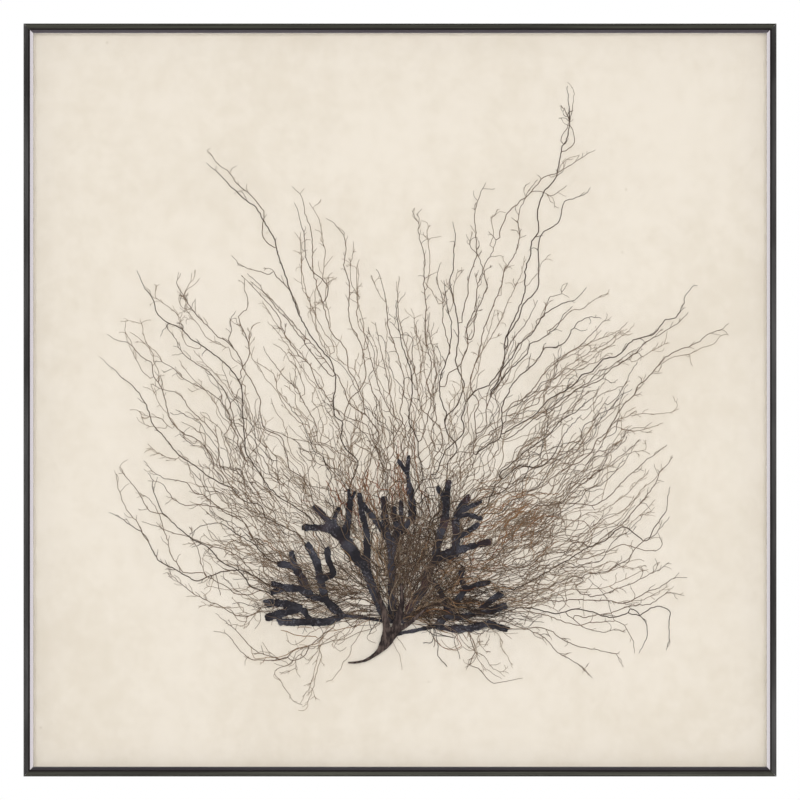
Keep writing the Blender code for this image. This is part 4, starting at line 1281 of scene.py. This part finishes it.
    def walk_in(
        self, start: np.ndarray, way: np.ndarray, bias: float, alone: float, limit: float
    ) -> np.ndarray:
        """Run a thread inwards until it joins another or reaches the base.

        Args:
            start: Where it starts, in steps.
            way: The direction that it already has.
            bias: A lean to one side, in radians, that fades towards the base.
            alone: How far it runs before it may join another.
            limit: The greatest length.

        Returns:
            The places that it passes after its start.
        """
        count = int(limit / self.spacing)
        along = np.arange(count) * self.spacing
        wander = sum(value_noise(self.rng, limit, wave, along) * turn for wave, turn in self.wander)
        place, heading = np.array(start, dtype=float), np.array(way, dtype=float)
        line = []
        for number in range(count):
            target = self.way_in(place)
            heading = heading * 0.6 + target * 0.4
            distance = np.linalg.norm(np.array(self.base) - place)
            fade = min(1.0, distance / self.calm_reach)
            angle = wander[number] * (0.4 + 0.6 * fade) + bias * fade
            if distance > self.free_reach:
                push = self.push(place, heading / np.linalg.norm(heading)) * self.push_share
                angle += max(-self.push_limit, min(self.push_limit, push))
            step = np.array(
                (
                    heading[0] * math.cos(angle) - heading[1] * math.sin(angle),
                    heading[0] * math.sin(angle) + heading[1] * math.cos(angle),
                )
            )
            place = place + step / np.linalg.norm(step) * self.spacing
            line.append(place)
            if distance < self.end_reach:
                break
            early = distance < self.heart_reach and along[number] > self.early_join
            if early or along[number] > alone:
                gap = self.join_gaps[1] if distance > self.heart_reach else self.join_gaps[0]
                joint = self.meets(place, step / np.linalg.norm(step), gap)
                if joint is not None:
                    line.append(joint)
                    break
        return np.array(line)

    def add(self, fork: str, places: np.ndarray, tint: float, thickness: float, twiggy: float = 0.7) -> None:
        """Keep a thread whose radius grows from its tip inwards."""
        lengths = np.concatenate([[0], np.cumsum(np.linalg.norm(np.diff(places, axis=0), axis=1))])
        growth = 1 - np.exp(-lengths / self.thickening)
        radii = self.tip_radius + (self.plain_radius * thickness - self.tip_radius) * growth
        self.remember(places)
        over = bool(self.rng.random() < self.over_share)
        self.strands.append(Strand(fork, places, np.maximum(radii, self.tip_radius), tint, over, twiggy))

    def wind(
        self, start: np.ndarray, heading: float, turn: float, shake: float, links: int, link: float
    ) -> np.ndarray:
        """Draw a line of equal links that turns steadily and strays a little at each link.

        Args:
            start: Where it starts.
            heading: The direction that it sets out from, in radians.
            turn: How much it turns at each link.
            shake: How much each link strays.
            links: How many links it has.
            link: A link's length.

        Returns:
            The line's places, its start among them.
        """
        points = [start]
        for _ in range(links):
            heading += turn + self.rng.normal(0, shake)
            points.append(points[-1] + np.array((math.cos(heading), math.sin(heading))) * link)
        return np.array(points)

    def curly(self, start: np.ndarray, way: np.ndarray, curl: Curl) -> np.ndarray:
        """A short curly line that sets out roughly along a direction."""
        heading = math.atan2(way[1], way[0]) + self.rng.normal(0, curl.scatter)
        turn = self.rng.normal(0, curl.turn)
        return self.wind(start, heading, turn, curl.shake, int(self.rng.uniform(*curl.links)), curl.link)

    def add_twigs(self, parent: Strand, share: float, reach: float, size: float) -> None:
        """Add short side twigs along a thread's outer part.

        Args:
            parent: The thread that carries them.
            share: Twigs for each step of the parent's length.
            reach: How far from the tip they stand.
            size: The longest twig, in steps.
        """
        along = 2.0
        while along < reach:
            along += self.rng.exponential(1 / max(share, 1e-3))
            number = int(along / self.spacing)
            if number >= len(parent.places) - 2 or along > reach:
                return
            outwards = parent.places[number] - parent.places[number + 1]
            if np.linalg.norm(outwards) < 1e-6:
                continue
            side = self.rng.choice((-1, 1))
            heading = math.atan2(outwards[1], outwards[0]) + side * self.rng.uniform(0.3, 0.8)
            length = size * self.rng.uniform(0.25, 1.0) ** 1.5
            count = max(2, int(length / 1.8))
            bend = self.rng.uniform(-0.25, 0.1) * side
            line = self.wind(parent.places[number], heading, bend, 0.28, count, length / count)[::-1]
            root = parent.radii[min(number, len(parent.radii) - 1)] * 0.75
            taper = np.linspace(self.tip_radius * 0.8, max(root, self.tip_radius), len(line))
            tint = parent.tint + self.rng.normal(0.04, 0.04)
            self.strands.append(Strand(parent.fork, line, taper, tint, parent.over))
            if length > 7 and self.rng.random() < 0.6:
                self.add_twigs(Strand(parent.fork, line, taper, tint), 0.12, length, length * 0.5)

    def grow_traced(self) -> None:
        """Run every traced thread on to the base."""
        for fork, looks in TRACES.items():
            for look, traces in looks.items():
                for trace in traces:
                    line = smooth_path(trace, self.spacing)
                    way = line[-1] - line[-3]
                    way = way / np.linalg.norm(way)
                    wobble = self.rng.normal(0, 0.35, line.shape)
                    wobble[0] = 0
                    line = line + wobble
                    rest = self.walk_in(line[-1], way, self.rng.normal(0, 0.08), self.spacing, self.longest)
                    tint = look.tint + self.rng.normal(0, 0.03)
                    self.add(fork, np.vstack([line, rest]), tint, look.thickness, look.twigs)

    def fill_between(self) -> None:
        """Grow finer threads inwards from places spread through the dense part."""
        corners = np.array(self.envelope) - np.array(self.base)
        angles = np.arctan2(corners[:, 0], -corners[:, 1])
        reaches = np.hypot(corners[:, 0], corners[:, 1])
        for _ in range(self.fillers):
            angle = self.rng.uniform(angles[0], angles[-1])
            reach = np.interp(angle, angles, reaches) * self.rng.uniform(*self.filler_reach)
            thin = 1.0
            if abs(angle) < self.top_angle:
                thin = self.thin_top
            elif abs(angle) > self.low_angle:
                thin = self.thin_low
            if self.rng.random() > thin:
                continue
            start = self.from_base(angle, reach)
            if self.below(start):
                continue
            fork = self.fork_at(start)
            way = self.way_in(start)
            bias = self.rng.normal(0, 0.22)
            line = self.walk_in(start, way, bias, self.rng.uniform(*self.filler_alone), self.longest)
            if len(line) < 4:
                continue
            tint = self.rng.normal(*self.tint)
            if math.dist(start, self.base) < self.calm_reach:
                tint -= self.inner_shade
            thickness = self.rng.uniform(*self.filler_thickness)
            self.add(fork, np.vstack([start, line]), tint, thickness, self.filler_twigs)

    def from_base(self, angle: float, reach: float) -> np.ndarray:
        """The place at a distance from the base, at an angle from straight up."""
        return np.array(self.base) + np.array((math.sin(angle), -math.cos(angle))) * reach

    def below(self, place: np.ndarray) -> bool:
        """Tell whether a place lies in the clear patch of sheet under the base."""
        left, right, top = self.clear_patch
        return bool(left < place[0] < right and place[1] > top)

    def grow_twigs(self) -> None:
        """Add twigs to the threads made so far."""
        for strand in list(self.strands):
            reach = min(self.twig_reach, len(strand.places) * self.spacing * 0.7)
            if not any(self.below(place) for place in strand.places):
                self.add_twigs(strand, self.twig_share * strand.twiggy, reach, self.twig_size)

    def tangle(self) -> None:
        """Wind short curly threads through the dense heart of the fan."""
        (left, right), (top, bottom) = self.tangle_bounds
        band, half, share = self.tangle_over
        for _ in range(self.tangled):
            across, down = self.rng.normal(self.tangle_middle, self.tangle_spread)
            if not (left < across < right and top < down < bottom):
                continue
            place = np.array((across, down))
            line = self.curly(place, -self.way_in(place), self.tangle_curl)
            tint = self.rng.choice(self.tangle_tints, p=self.tangle_shares)
            radii = np.full(len(line), self.tangle_radius)
            over = bool(abs(across - band) < half and self.rng.random() < share)
            self.strands.append(Strand("fan_crown", line, radii, tint, over))

    def grow_wisps(self) -> None:
        """Scatter very fine curly threads that cross the others in the dense part."""
        for _ in range(self.wisps):
            angle = self.rng.uniform(-self.wisp_angle, self.wisp_angle)
            place = self.from_base(angle, self.rng.uniform(*self.wisp_reach))
            line = self.curly(place, self.way_in(place), self.wisp_curl)
            radii = np.full(len(line), self.rng.uniform(*self.wisp_radius))
            self.strands.append(Strand(self.fork_at(place), line, radii, self.rng.normal(self.tint[0], 0.10)))

    def grow_tufts(self) -> None:
        """Add the tufts of short tinted threads, which run with the others."""
        for tuft in self.tufts:
            for _ in range(tuft.count):
                place = self.rng.normal(tuft.middle, tuft.spread)
                way = self.way_in(place)
                line = self.walk_in(
                    place, way, self.rng.normal(0, 0.35), self.longest, self.rng.uniform(*self.tuft_length)
                )
                places = np.vstack([place, line])
                radii = np.full(len(places), self.rng.uniform(*self.tuft_radius))
                radii[0] = radii[-1] = self.tip_radius
                tint = tuft.tint + self.rng.normal(0, 0.05)
                over = bool(self.rng.random() < (0.3 if tuft.tint < 0.5 else 0.08))
                self.strands.append(Strand(self.fork_at(place), places, radii, tint, over))

    def grow(self) -> list[Strand]:
        """Grow all the threads."""
        self.read_flow()
        self.grow_traced()
        self.fill_between()
        self.grow_twigs()
        self.grow_wisps()
        self.grow_tufts()
        self.tangle()
        return self.strands


@dataclass
class Threads:
    """Turns threads into tapering tubes that lie on the sheet and rise over the fronds near the base."""

    sides: int = 4
    seed: int = 100
    low: float = 0.42 * MM
    spread: float = 0.35 * MM
    ripple: float = 0.12 * MM
    ripple_wave: float = 18.0
    clearance: float = 0.05 * MM
    over_height: float = 3.35 * MM
    over_spread: float = 0.2 * MM
    over_start: float = 165.0
    over_end: float = 125.0
    middle: Point = (396.0, 575.0)

    def heights(self, strand: Strand, rng: np.random.Generator) -> np.ndarray:
        """How far in front of the sheet each point of a thread lies."""
        base = self.low + self.spread * rng.random()
        along = np.arange(len(strand.places)) * Growth.spacing
        length = len(strand.places) * Growth.spacing
        height = base + value_noise(rng, length, self.ripple_wave, along) * self.ripple
        if strand.over:
            away = np.hypot(*(strand.places - np.array(self.middle)).T)
            rise = np.clip((self.over_start - away) / (self.over_start - self.over_end), 0, 1)
            rise = rise * rise * (3 - 2 * rise)
            height = height + (self.over_height - base - self.over_spread * rng.random()) * rise
        return np.maximum(height, strand.radii + self.clearance)

    def line_mesh(self, name: str, strands: Sequence[Strand], rng: np.random.Generator) -> bpy.types.Mesh:
        """A mesh of bare edges along the threads, with their radius and tint on its points."""
        points, edges, radii, tints = [], [], [], []
        for strand in strands:
            first = len(points)
            for place, height in zip(strand.places, self.heights(strand, rng)):
                points.append(on_sheet(place, height))
            edges += [(first + number, first + number + 1) for number in range(len(strand.places) - 1)]
            radii += list(strand.radii)
            tints += [strand.tint] * len(strand.places)
        mesh = bpy.data.meshes.new(name)
        mesh.from_pydata(points, edges, [])
        mesh.attributes.new("thickness", "FLOAT", "POINT").data.foreach_set("value", radii)
        mesh.attributes.new("tint", "FLOAT", "POINT").data.foreach_set("value", tints)
        return mesh

    def tube_tree(self, material: bpy.types.Material) -> bpy.types.NodeTree:
        """A Geometry Nodes tree that gives bare edges a tapering tube."""
        tree = bpy.data.node_groups.new("thread_tubes", "GeometryNodeTree")
        tree.interface.new_socket("Geometry", in_out="INPUT", socket_type="NodeSocketGeometry")
        tree.interface.new_socket("Sides", in_out="INPUT", socket_type="NodeSocketInt")
        tree.interface.new_socket("Geometry", in_out="OUTPUT", socket_type="NodeSocketGeometry")
        given = tree.nodes.new("NodeGroupInput")
        line = tree.nodes.new("GeometryNodeMeshToCurve")
        radius = tree.nodes.new("GeometryNodeInputNamedAttribute")
        radius.inputs["Name"].default_value = "thickness"
        ring = tree.nodes.new("GeometryNodeCurvePrimitiveCircle")
        ring.inputs["Radius"].default_value = 1.0
        tube = tree.nodes.new("GeometryNodeCurveToMesh")
        tube.inputs["Fill Caps"].default_value = True
        smooth = tree.nodes.new("GeometryNodeSetShadeSmooth")
        solid = tree.nodes.new("GeometryNodeRealizeInstances")
        paint = tree.nodes.new("GeometryNodeSetMaterial")
        paint.inputs["Material"].default_value = material
        out = tree.nodes.new("NodeGroupOutput")
        for source, target in (
            (given.outputs["Geometry"], line.inputs["Mesh"]),
            (line.outputs["Curve"], tube.inputs["Curve"]),
            (radius.outputs["Attribute"], tube.inputs["Scale"]),
            (given.outputs["Sides"], ring.inputs["Resolution"]),
            (ring.outputs["Curve"], tube.inputs["Profile Curve"]),
            (tube.outputs["Mesh"], smooth.inputs["Geometry"]),
            (smooth.outputs["Geometry"], solid.inputs["Geometry"]),
            (solid.outputs["Geometry"], paint.inputs["Geometry"]),
            (paint.outputs["Geometry"], out.inputs["Geometry"]),
        ):
            tree.links.new(source, target)
        return tree

    def build(self) -> None:
        """Grow the threads and make one piece for each fork of the fan."""
        material = ThreadSkin().material("thread_skin")
        tree = self.tube_tree(material)
        sides = next(item.identifier for item in tree.interface.items_tree if item.name == "Sides")
        strands = Growth().grow()
        forks: dict[str, list[Strand]] = {}
        for strand in strands:
            forks.setdefault(strand.fork, []).append(strand)
        for number, (fork, members) in enumerate(sorted(forks.items())):
            rng = np.random.default_rng(self.seed + number)
            mesh = self.line_mesh(fork + "_lines", members, rng)
            piece = bpy.data.objects.new(fork + "_threads", mesh)
            bpy.context.scene.collection.objects.link(piece)
            modifier = piece.modifiers.new("tubes", "NODES")
            modifier.node_group = tree
            modifier[sides] = self.sides
            settle(piece)
            show_piece(piece, [fork])


def blade(width: float, places: list[Point], *forks: Branch) -> Branch:
    """One stretch of a frond, with the stretches that fork from its end."""
    return (places, width, list(forks))


FRONDS: dict[str, tuple[Point, list[Branch]]] = {
    "frond_low_left": ((390, 623), [
        blade(2.6, [(380, 621), (362, 618), (345, 616.5)],
            blade(6, [(326, 622.5), (311, 622.5)],
                blade(6, [(295, 623), (279, 622.5)]),
                blade(4.5, [(302, 609)],
                    blade(6, [(285, 613), (266, 618.5)]),
                    blade(6, [(284, 604.5), (266, 603.5)]))),
            blade(6, [(334, 609), (325, 600)],
                blade(5.5, [(311, 597)],
                    blade(5.5, [(300, 589.5), (284, 588.5)],
                        blade(4.5, [(271, 593.5)]),
                        blade(4.5, [(272, 584)])),
                    blade(6, [(301, 578), (294, 566)],
                        blade(5.5, [(279, 564.5)]),
                        blade(5, [(291, 553)]))),
                blade(6, [(320, 580)],
                    blade(6, [(316.5, 563), (307, 545)]),
                    blade(4.5, [(333, 574), (328, 560), (327, 549)])))),
    ]),
    "frond_upper_left": ((387, 622), [
        blade(7, [(380, 606), (373, 590), (366, 570)],
            blade(9, [(354, 555), (343, 538)],
                blade(8, [(333, 529)],
                    blade(5, [(319, 528), (304, 528)]),
                    blade(5, [(323, 516), (313, 507)]),
                    blade(3, [(334.5, 517), (339, 508)])),
                blade(5, [(348, 522), (349.5, 504)],
                    blade(2.6, [(348.5, 490)]),
                    blade(2.6, [(355, 492)]))),
            blade(5, [(367, 545), (366, 529)],
                blade(4, [(361.5, 512), (359.5, 495)]))),
    ]),
    "frond_centre": ((394, 624), [
        blade(6, [(392, 606), (391.5, 575), (391.5, 549)],
            blade(5.5, [(386, 534)],
                blade(4.5, [(374, 519), (362, 504)]),
                blade(5, [(384.5, 516), (384, 498)])),
            blade(6, [(398, 533)],
                blade(3.4, [(394.5, 520), (394.5, 508)]),
                blade(3.6, [(401, 516), (401, 501.5)]),
                blade(5.5, [(411, 520), (412, 505), (409.5, 488)],
                    blade(3, [(407.5, 474)],
                        blade(3.2, [(398.5, 461)]),
                        blade(3, [(408.5, 457)]))))),
    ]),
    "frond_right": ((402, 624), [
        blade(6, [(411, 606), (423, 590), (428, 574), (436, 560)],
            blade(6, [(437, 545), (445, 520), (446, 502)],
                blade(3.6, [(438, 488)]),
                blade(4.2, [(449, 481)])),
            blade(8, [(455, 552)],
                blade(4.6, [(471, 547), (491, 542)]),
                blade(5.5, [(456.5, 538)],
                    blade(3.8, [(468, 532), (478.5, 524.5)]),
                    blade(5.5, [(455.5, 518)],
                        blade(3.6, [(468, 515), (481, 519)]),
                        blade(3.8, [(470, 507), (481, 501.5)]),
                        blade(5, [(462, 506), (469, 497)]))))),
    ]),
    "frond_low_right": ((393, 635), [
        blade(3, [(400, 634), (416, 631), (434, 627)],
            blade(5.5, [(452, 629.5), (471, 629), (487, 624)],
                blade(5.5, [(507, 630)])),
            blade(5, [(448, 617)],
                blade(5, [(464, 617), (479, 612)],
                    blade(5.5, [(493, 611), (506, 606)]),
                    blade(5, [(490, 602), (502, 594)])),
                blade(4.5, [(456, 603), (466, 590)],
                    blade(4, [(478, 585), (489, 583)]),
                    blade(4, [(461, 578), (463, 568)])),
                blade(4, [(444, 601), (438, 588), (432, 582)]))),
    ]),
}


@dataclass
class Blades:
    """Flat forked fronds with ragged edges and notched tips, each one closed skin."""

    thickness: float = 0.75 * MM
    grain: float = 0.42 * MM
    ragged: float = 0.15
    broad: float = 1.38
    wrinkle: float = 0.12 * MM
    sideways: float = 0.16 * MM
    spacing: float = 1.6
    seed: int = 7
    section: tuple[Point, ...] = (
        (-0.5, -0.25), (-0.5, 0.25), (-0.4, 0.42), (-0.12, 0.5), (0.12, 0.5), (0.4, 0.42),
        (0.5, 0.25), (0.5, -0.25), (0.4, -0.42), (0.12, -0.5), (-0.12, -0.5), (-0.4, -0.42),
    )

    def add_strip(
        self, cage: bmesh.types.BMesh, line: np.ndarray, widths: np.ndarray, middle: float
    ) -> None:
        """Add one closed strip of lens section.

        Args:
            cage: The mesh to add to.
            line: The strip's middle line, in steps.
            widths: Its width at each point, in steps.
            middle: The height of its middle in front of the sheet.
        """
        ways = np.gradient(line, axis=0)
        ways /= np.linalg.norm(ways, axis=1, keepdims=True) + 1e-9
        sides = np.stack([-ways[:, 1], ways[:, 0]], axis=1)
        rings = []
        for place, side, width in zip(line, sides, widths):
            ring = []
            for across, up in self.section:
                spot = place + side * across * width * self.broad
                ring.append(cage.verts.new(on_sheet(spot, middle + up * self.thickness)))
            rings.append(ring)
        for ring, after in zip(rings, rings[1:]):
            for number in range(len(ring)):
                other = (number + 1) % len(ring)
                cage.faces.new((ring[number], ring[other], after[other], after[number]))
        cage.faces.new(rings[0][::-1])
        cage.faces.new(rings[-1])

    def add_branch(
        self,
        cage: bmesh.types.BMesh,
        start: np.ndarray,
        width: float,
        branch: Branch,
        middle: float,
        rng: np.random.Generator,
    ) -> None:
        """Add a stretch of frond and all that forks from it.

        Args:
            cage: The mesh to add to.
            start: Where the stretch starts, in steps.
            width: Its width there, in steps.
            branch: The stretch.
            middle: The height of its middle in front of the sheet.
            rng: The source of the random numbers.
        """
        places, own_width, forks = branch
        line = smooth_path([tuple(start)] + places, self.spacing)
        share = np.linspace(0, 1, len(line))
        widths = width + (own_width - width) * np.clip(share * 2.5, 0, 1)
        length = float(np.sum(np.linalg.norm(np.diff(line, axis=0), axis=1)))
        coarse = value_noise(rng, length, 4, share * length)
        fine = value_noise(rng, length, 1.8, share * length)
        widths = widths * (1 + self.ragged * coarse + self.ragged * 0.8 * fine)
        line = line + rng.normal(0, 0.12, line.shape)
        if forks:
            widths[-1] *= 0.9
        else:
            widths[-2:] *= (1.0, 0.86)
        self.add_strip(cage, line, widths, middle)
        if not forks:
            self.add_notched_tip(cage, line, own_width, middle, rng)
        for fork in forks:
            self.add_branch(cage, line[-1], own_width * 0.95, fork, middle, rng)

    def add_notched_tip(
        self, cage: bmesh.types.BMesh, line: np.ndarray, width: float, middle: float, rng: np.random.Generator
    ) -> None:
        """End a blade in two blunt lobes with a shallow notch between them."""
        way = line[-1] - line[-3]
        way = way / (np.linalg.norm(way) + 1e-9)
        side = np.array((-way[1], way[0]))
        for sign in (-1, 1):
            lobe = width * rng.uniform(0.15, 0.60)
            root = line[-1] + side * sign * width * 0.22 - way * 0.8
            tip = root + way * (lobe + 0.8) + side * sign * width * 0.04
            strip = np.array([root, (root + tip) / 2, tip])
            widths = np.array([width * 0.50, width * 0.46, width * 0.30])
            self.add_strip(cage, strip, widths, middle)

    def finish_skin(
        self, name: str, cage: bmesh.types.BMesh, material: bpy.types.Material
    ) -> bpy.types.Object:
        """Fuse the strips into one closed skin and wrinkle it."""
        bmesh.ops.recalc_face_normals(cage, faces=cage.faces)
        mesh = bpy.data.meshes.new(name)
        cage.to_mesh(mesh)
        cage.free()
        piece = new_object(name, mesh, material)
        remesh = piece.modifiers.new("fuse", "REMESH")
        remesh.mode = "VOXEL"
        remesh.voxel_size = self.grain
        remesh.use_smooth_shade = True
        settle(piece)
        self.wrinkle_skin(piece.data)
        piece.data.materials.clear()
        piece.data.materials.append(material)
        return piece

    def wrinkle_skin(self, mesh: bpy.types.Mesh) -> None:
        """Move the skin's points a little so that it looks dried."""
        for point in mesh.vertices:
            fine = noise.noise(point.co * 900)
            coarse = noise.noise(point.co * 260)
            sideways = noise.noise_vector(point.co * 620) * self.sideways
            point.co.y += self.wrinkle * (0.6 * fine + 0.8 * coarse)
            point.co.x += sideways.x
            point.co.z += sideways.z
        mesh.shade_smooth()

    def build(self) -> None:
        """Make the five fronds."""
        plain = FrondSkin().material("dried_frond")
        brown = FrondSkin(tinge_share=0.9, tinge=(0.055, 0.022, 0.020)).material("dried_frond_brown")
        for number, (node, (start, branches)) in enumerate(FRONDS.items()):
            middle = PAPER_Y - (front_of(node) + back_of(node)) / 2
            rng = np.random.default_rng(self.seed + number)
            cage = bmesh.new()
            for branch in branches:
                first = np.array(start, dtype=float)
                self.add_branch(cage, first, branch[1], branch, middle, rng)
            material = brown if node == "frond_right" else plain
            piece = self.finish_skin(node + "_blade", cage, material)
            show_piece(piece, [node])


@dataclass
class Stem(Blades):
    """The curved tail that widens to a ridged wedge and forks."""

    thickness: float = 1.45 * MM
    ragged: float = 0.06
    seed: int = 57
    wrinkle: float = 0.16 * MM
    tail: tuple[Point, ...] = (
        (348, 663.2), (356, 663), (365, 661), (373, 656.5), (380, 650.5), (386, 642), (391, 631),
    )
    broad: float = 1.1
    widths: tuple[float, ...] = (1.6, 2.0, 2.5, 3.4, 5.6, 11.0, 16.0)
    forks: tuple[tuple[tuple[Point, ...], float, float], ...] = (
        (((387.5, 634), (385, 617), (381, 603), (376, 588)), 8.0, 2.4),
        (((394, 634), (399, 616), (402, 602), (401, 584)), 8.5, 2.4),
        (((392, 633), (404, 627), (416, 618), (428, 607)), 6.0, 1.8),
    )

    def build(self) -> None:
        """Make the stem."""
        rng = np.random.default_rng(self.seed)
        middle = PAPER_Y - (front_of("stem") + back_of("stem")) / 2
        cage = bmesh.new()
        line = smooth_path(self.tail, self.spacing)
        given = np.array([math.dist(a, self.tail[0]) for a in self.tail])
        there = np.hypot(*(line - np.array(self.tail[0])).T)
        widths = np.interp(there, given, self.widths)
        widths = widths * (1 + self.ragged * value_noise(rng, 80, 3, there))
        self.add_strip(cage, line, widths, middle)
        for places, start_width, end_width in self.forks:
            line = smooth_path(places, self.spacing)
            widths = np.linspace(start_width, end_width, len(line))
            along = np.arange(len(line)) * self.spacing
            widths = widths * (1 + self.ragged * value_noise(rng, 80, 3, along))
            self.add_strip(cage, line, widths, middle)
        piece = self.finish_skin("stem_bark", cage, StemBark().material("stem_bark"))
        show_piece(piece, ["stem"])


@dataclass(frozen=True)
class Lamp:
    """A soft lamp: its name, place, size and power, and whether it gives plain light and mirror light."""

    name: str
    place: tuple[float, float, float]
    size: Point
    power: float
    plain: bool = True
    mirror: bool = True


@dataclass
class Studio:
    """A plain pale floor, plain soft light, a white surround and the camera."""

    distance: float = 3.6
    view_width: float = 0.648
    sensor: float = 36.0
    floor_z: float = -0.80
    floor_half: float = 6.0
    floor_ends: Point = (-5.5, 5.0)
    lamps: tuple[Lamp, ...] = (
        Lamp("side", (-1.25, FRONT_Y - 0.56, 0), (0.9, 2.0), 21.0, plain=False),
        Lamp("side", (1.25, FRONT_Y - 0.56, 0), (0.9, 2.0), 21.0, plain=False),
        Lamp("front", (0, -3.2, 0.25), (2.2, 1.4), 68.0, mirror=False),
        Lamp("rear", (0.6, 2.2, 1.8), (1.6, 1.6), 60.0),
        Lamp("rear", (-2.4, 1.6, 0.8), (1.2, 1.2), 30.0),
    )

    def build(self) -> None:
        """Set the studio up."""
        self.add_camera()
        self.add_surround()
        self.add_floor()
        for lamp in self.lamps:
            self.add_softbox(lamp)
        scene = bpy.context.scene
        scene.view_settings.view_transform = "Standard"
        scene.cycles.max_bounces = 4
        scene.cycles.diffuse_bounces = 2
        scene.cycles.glossy_bounces = 2

    def add_camera(self) -> None:
        """Look square at the sheet, as the photograph does."""
        data = bpy.data.cameras.new("camera")
        data.sensor_width = self.sensor
        data.lens = self.sensor * self.distance / self.view_width
        data.clip_start = 0.1
        data.clip_end = 60
        camera = bpy.data.objects.new("camera", data)
        camera.location = (0, FRONT_Y - self.distance, 0)
        camera.rotation_euler = (math.pi / 2, 0, 0)
        bpy.context.scene.collection.objects.link(camera)
        bpy.context.scene.camera = camera

    def add_surround(self) -> None:
        """A white backdrop that lights softly, but not from where the pane would mirror it."""
        world = bpy.data.worlds.new("surround")
        bpy.context.scene.world = world
        world.use_nodes = True
        tree = world.node_tree
        back = tree.nodes["Background"]
        direction = tree.nodes.new("ShaderNodeTexCoord")
        split = tree.nodes.new("ShaderNodeSeparateXYZ")
        soft = tree.nodes.new("ShaderNodeMapRange")
        soft.interpolation_type = "SMOOTHSTEP"
        for name, value in (("From Min", -0.985), ("From Max", -0.955), ("To Min", 0.04), ("To Max", 0.4)):
            soft.inputs[name].default_value = value
        seen = tree.nodes.new("ShaderNodeLightPath")
        pick = tree.nodes.new("ShaderNodeMix")
        tree.links.new(direction.outputs["Generated"], split.inputs[0])
        tree.links.new(split.outputs["Y"], soft.inputs["Value"])
        tree.links.new(seen.outputs["Is Camera Ray"], pick.inputs["Factor"])
        tree.links.new(soft.outputs[0], pick.inputs["A"])
        pick.inputs["B"].default_value = 1.0
        tree.links.new(pick.outputs[0], back.inputs["Strength"])
        back.inputs["Color"].default_value = (1, 1, 1, 1)

    def add_floor(self) -> None:
        """A pale floor below the view."""
        mesh = bpy.data.meshes.new("floor")
        (near, far), half = self.floor_ends, self.floor_half
        outline = ((-half, near), (half, near), (half, far), (-half, far))
        mesh.from_pydata([(*corner, self.floor_z) for corner in outline], [], [(0, 1, 2, 3)])
        recipe = Recipe("pale_floor")
        tone = recipe.noise(recipe.place(), 3, 2)
        colour = recipe.mix(tone, (0.80, 0.80, 0.80), (0.84, 0.84, 0.83))
        floor = new_object("floor", mesh, recipe.finish(Base_Color=colour, Roughness=0.9))

    def add_softbox(self, lamp: Lamp) -> None:
        """Add one soft lamp that faces the frame's middle."""
        data = bpy.data.lights.new(lamp.name, "AREA")
        data.shape = "RECTANGLE"
        data.size, data.size_y = lamp.size
        data.energy = lamp.power
        item = bpy.data.objects.new(lamp.name, data)
        item.location = lamp.place
        item.rotation_euler = (-Vector(lamp.place)).to_track_quat("-Z", "Y").to_euler()
        item.visible_camera = False
        item.visible_diffuse = lamp.plain
        item.visible_glossy = lamp.mirror
        bpy.context.scene.collection.objects.link(item)


def main() -> None:
    """Build the studio and every piece of the framed sea fan."""
    logging.basicConfig(level=logging.INFO, format="%(name)s %(message)s")
    for part in (Studio(), Rails(), Pack(), Fixings(), Blades(), Stem(), Threads()):
        part.build()


if __name__ == "__main__":
    main()
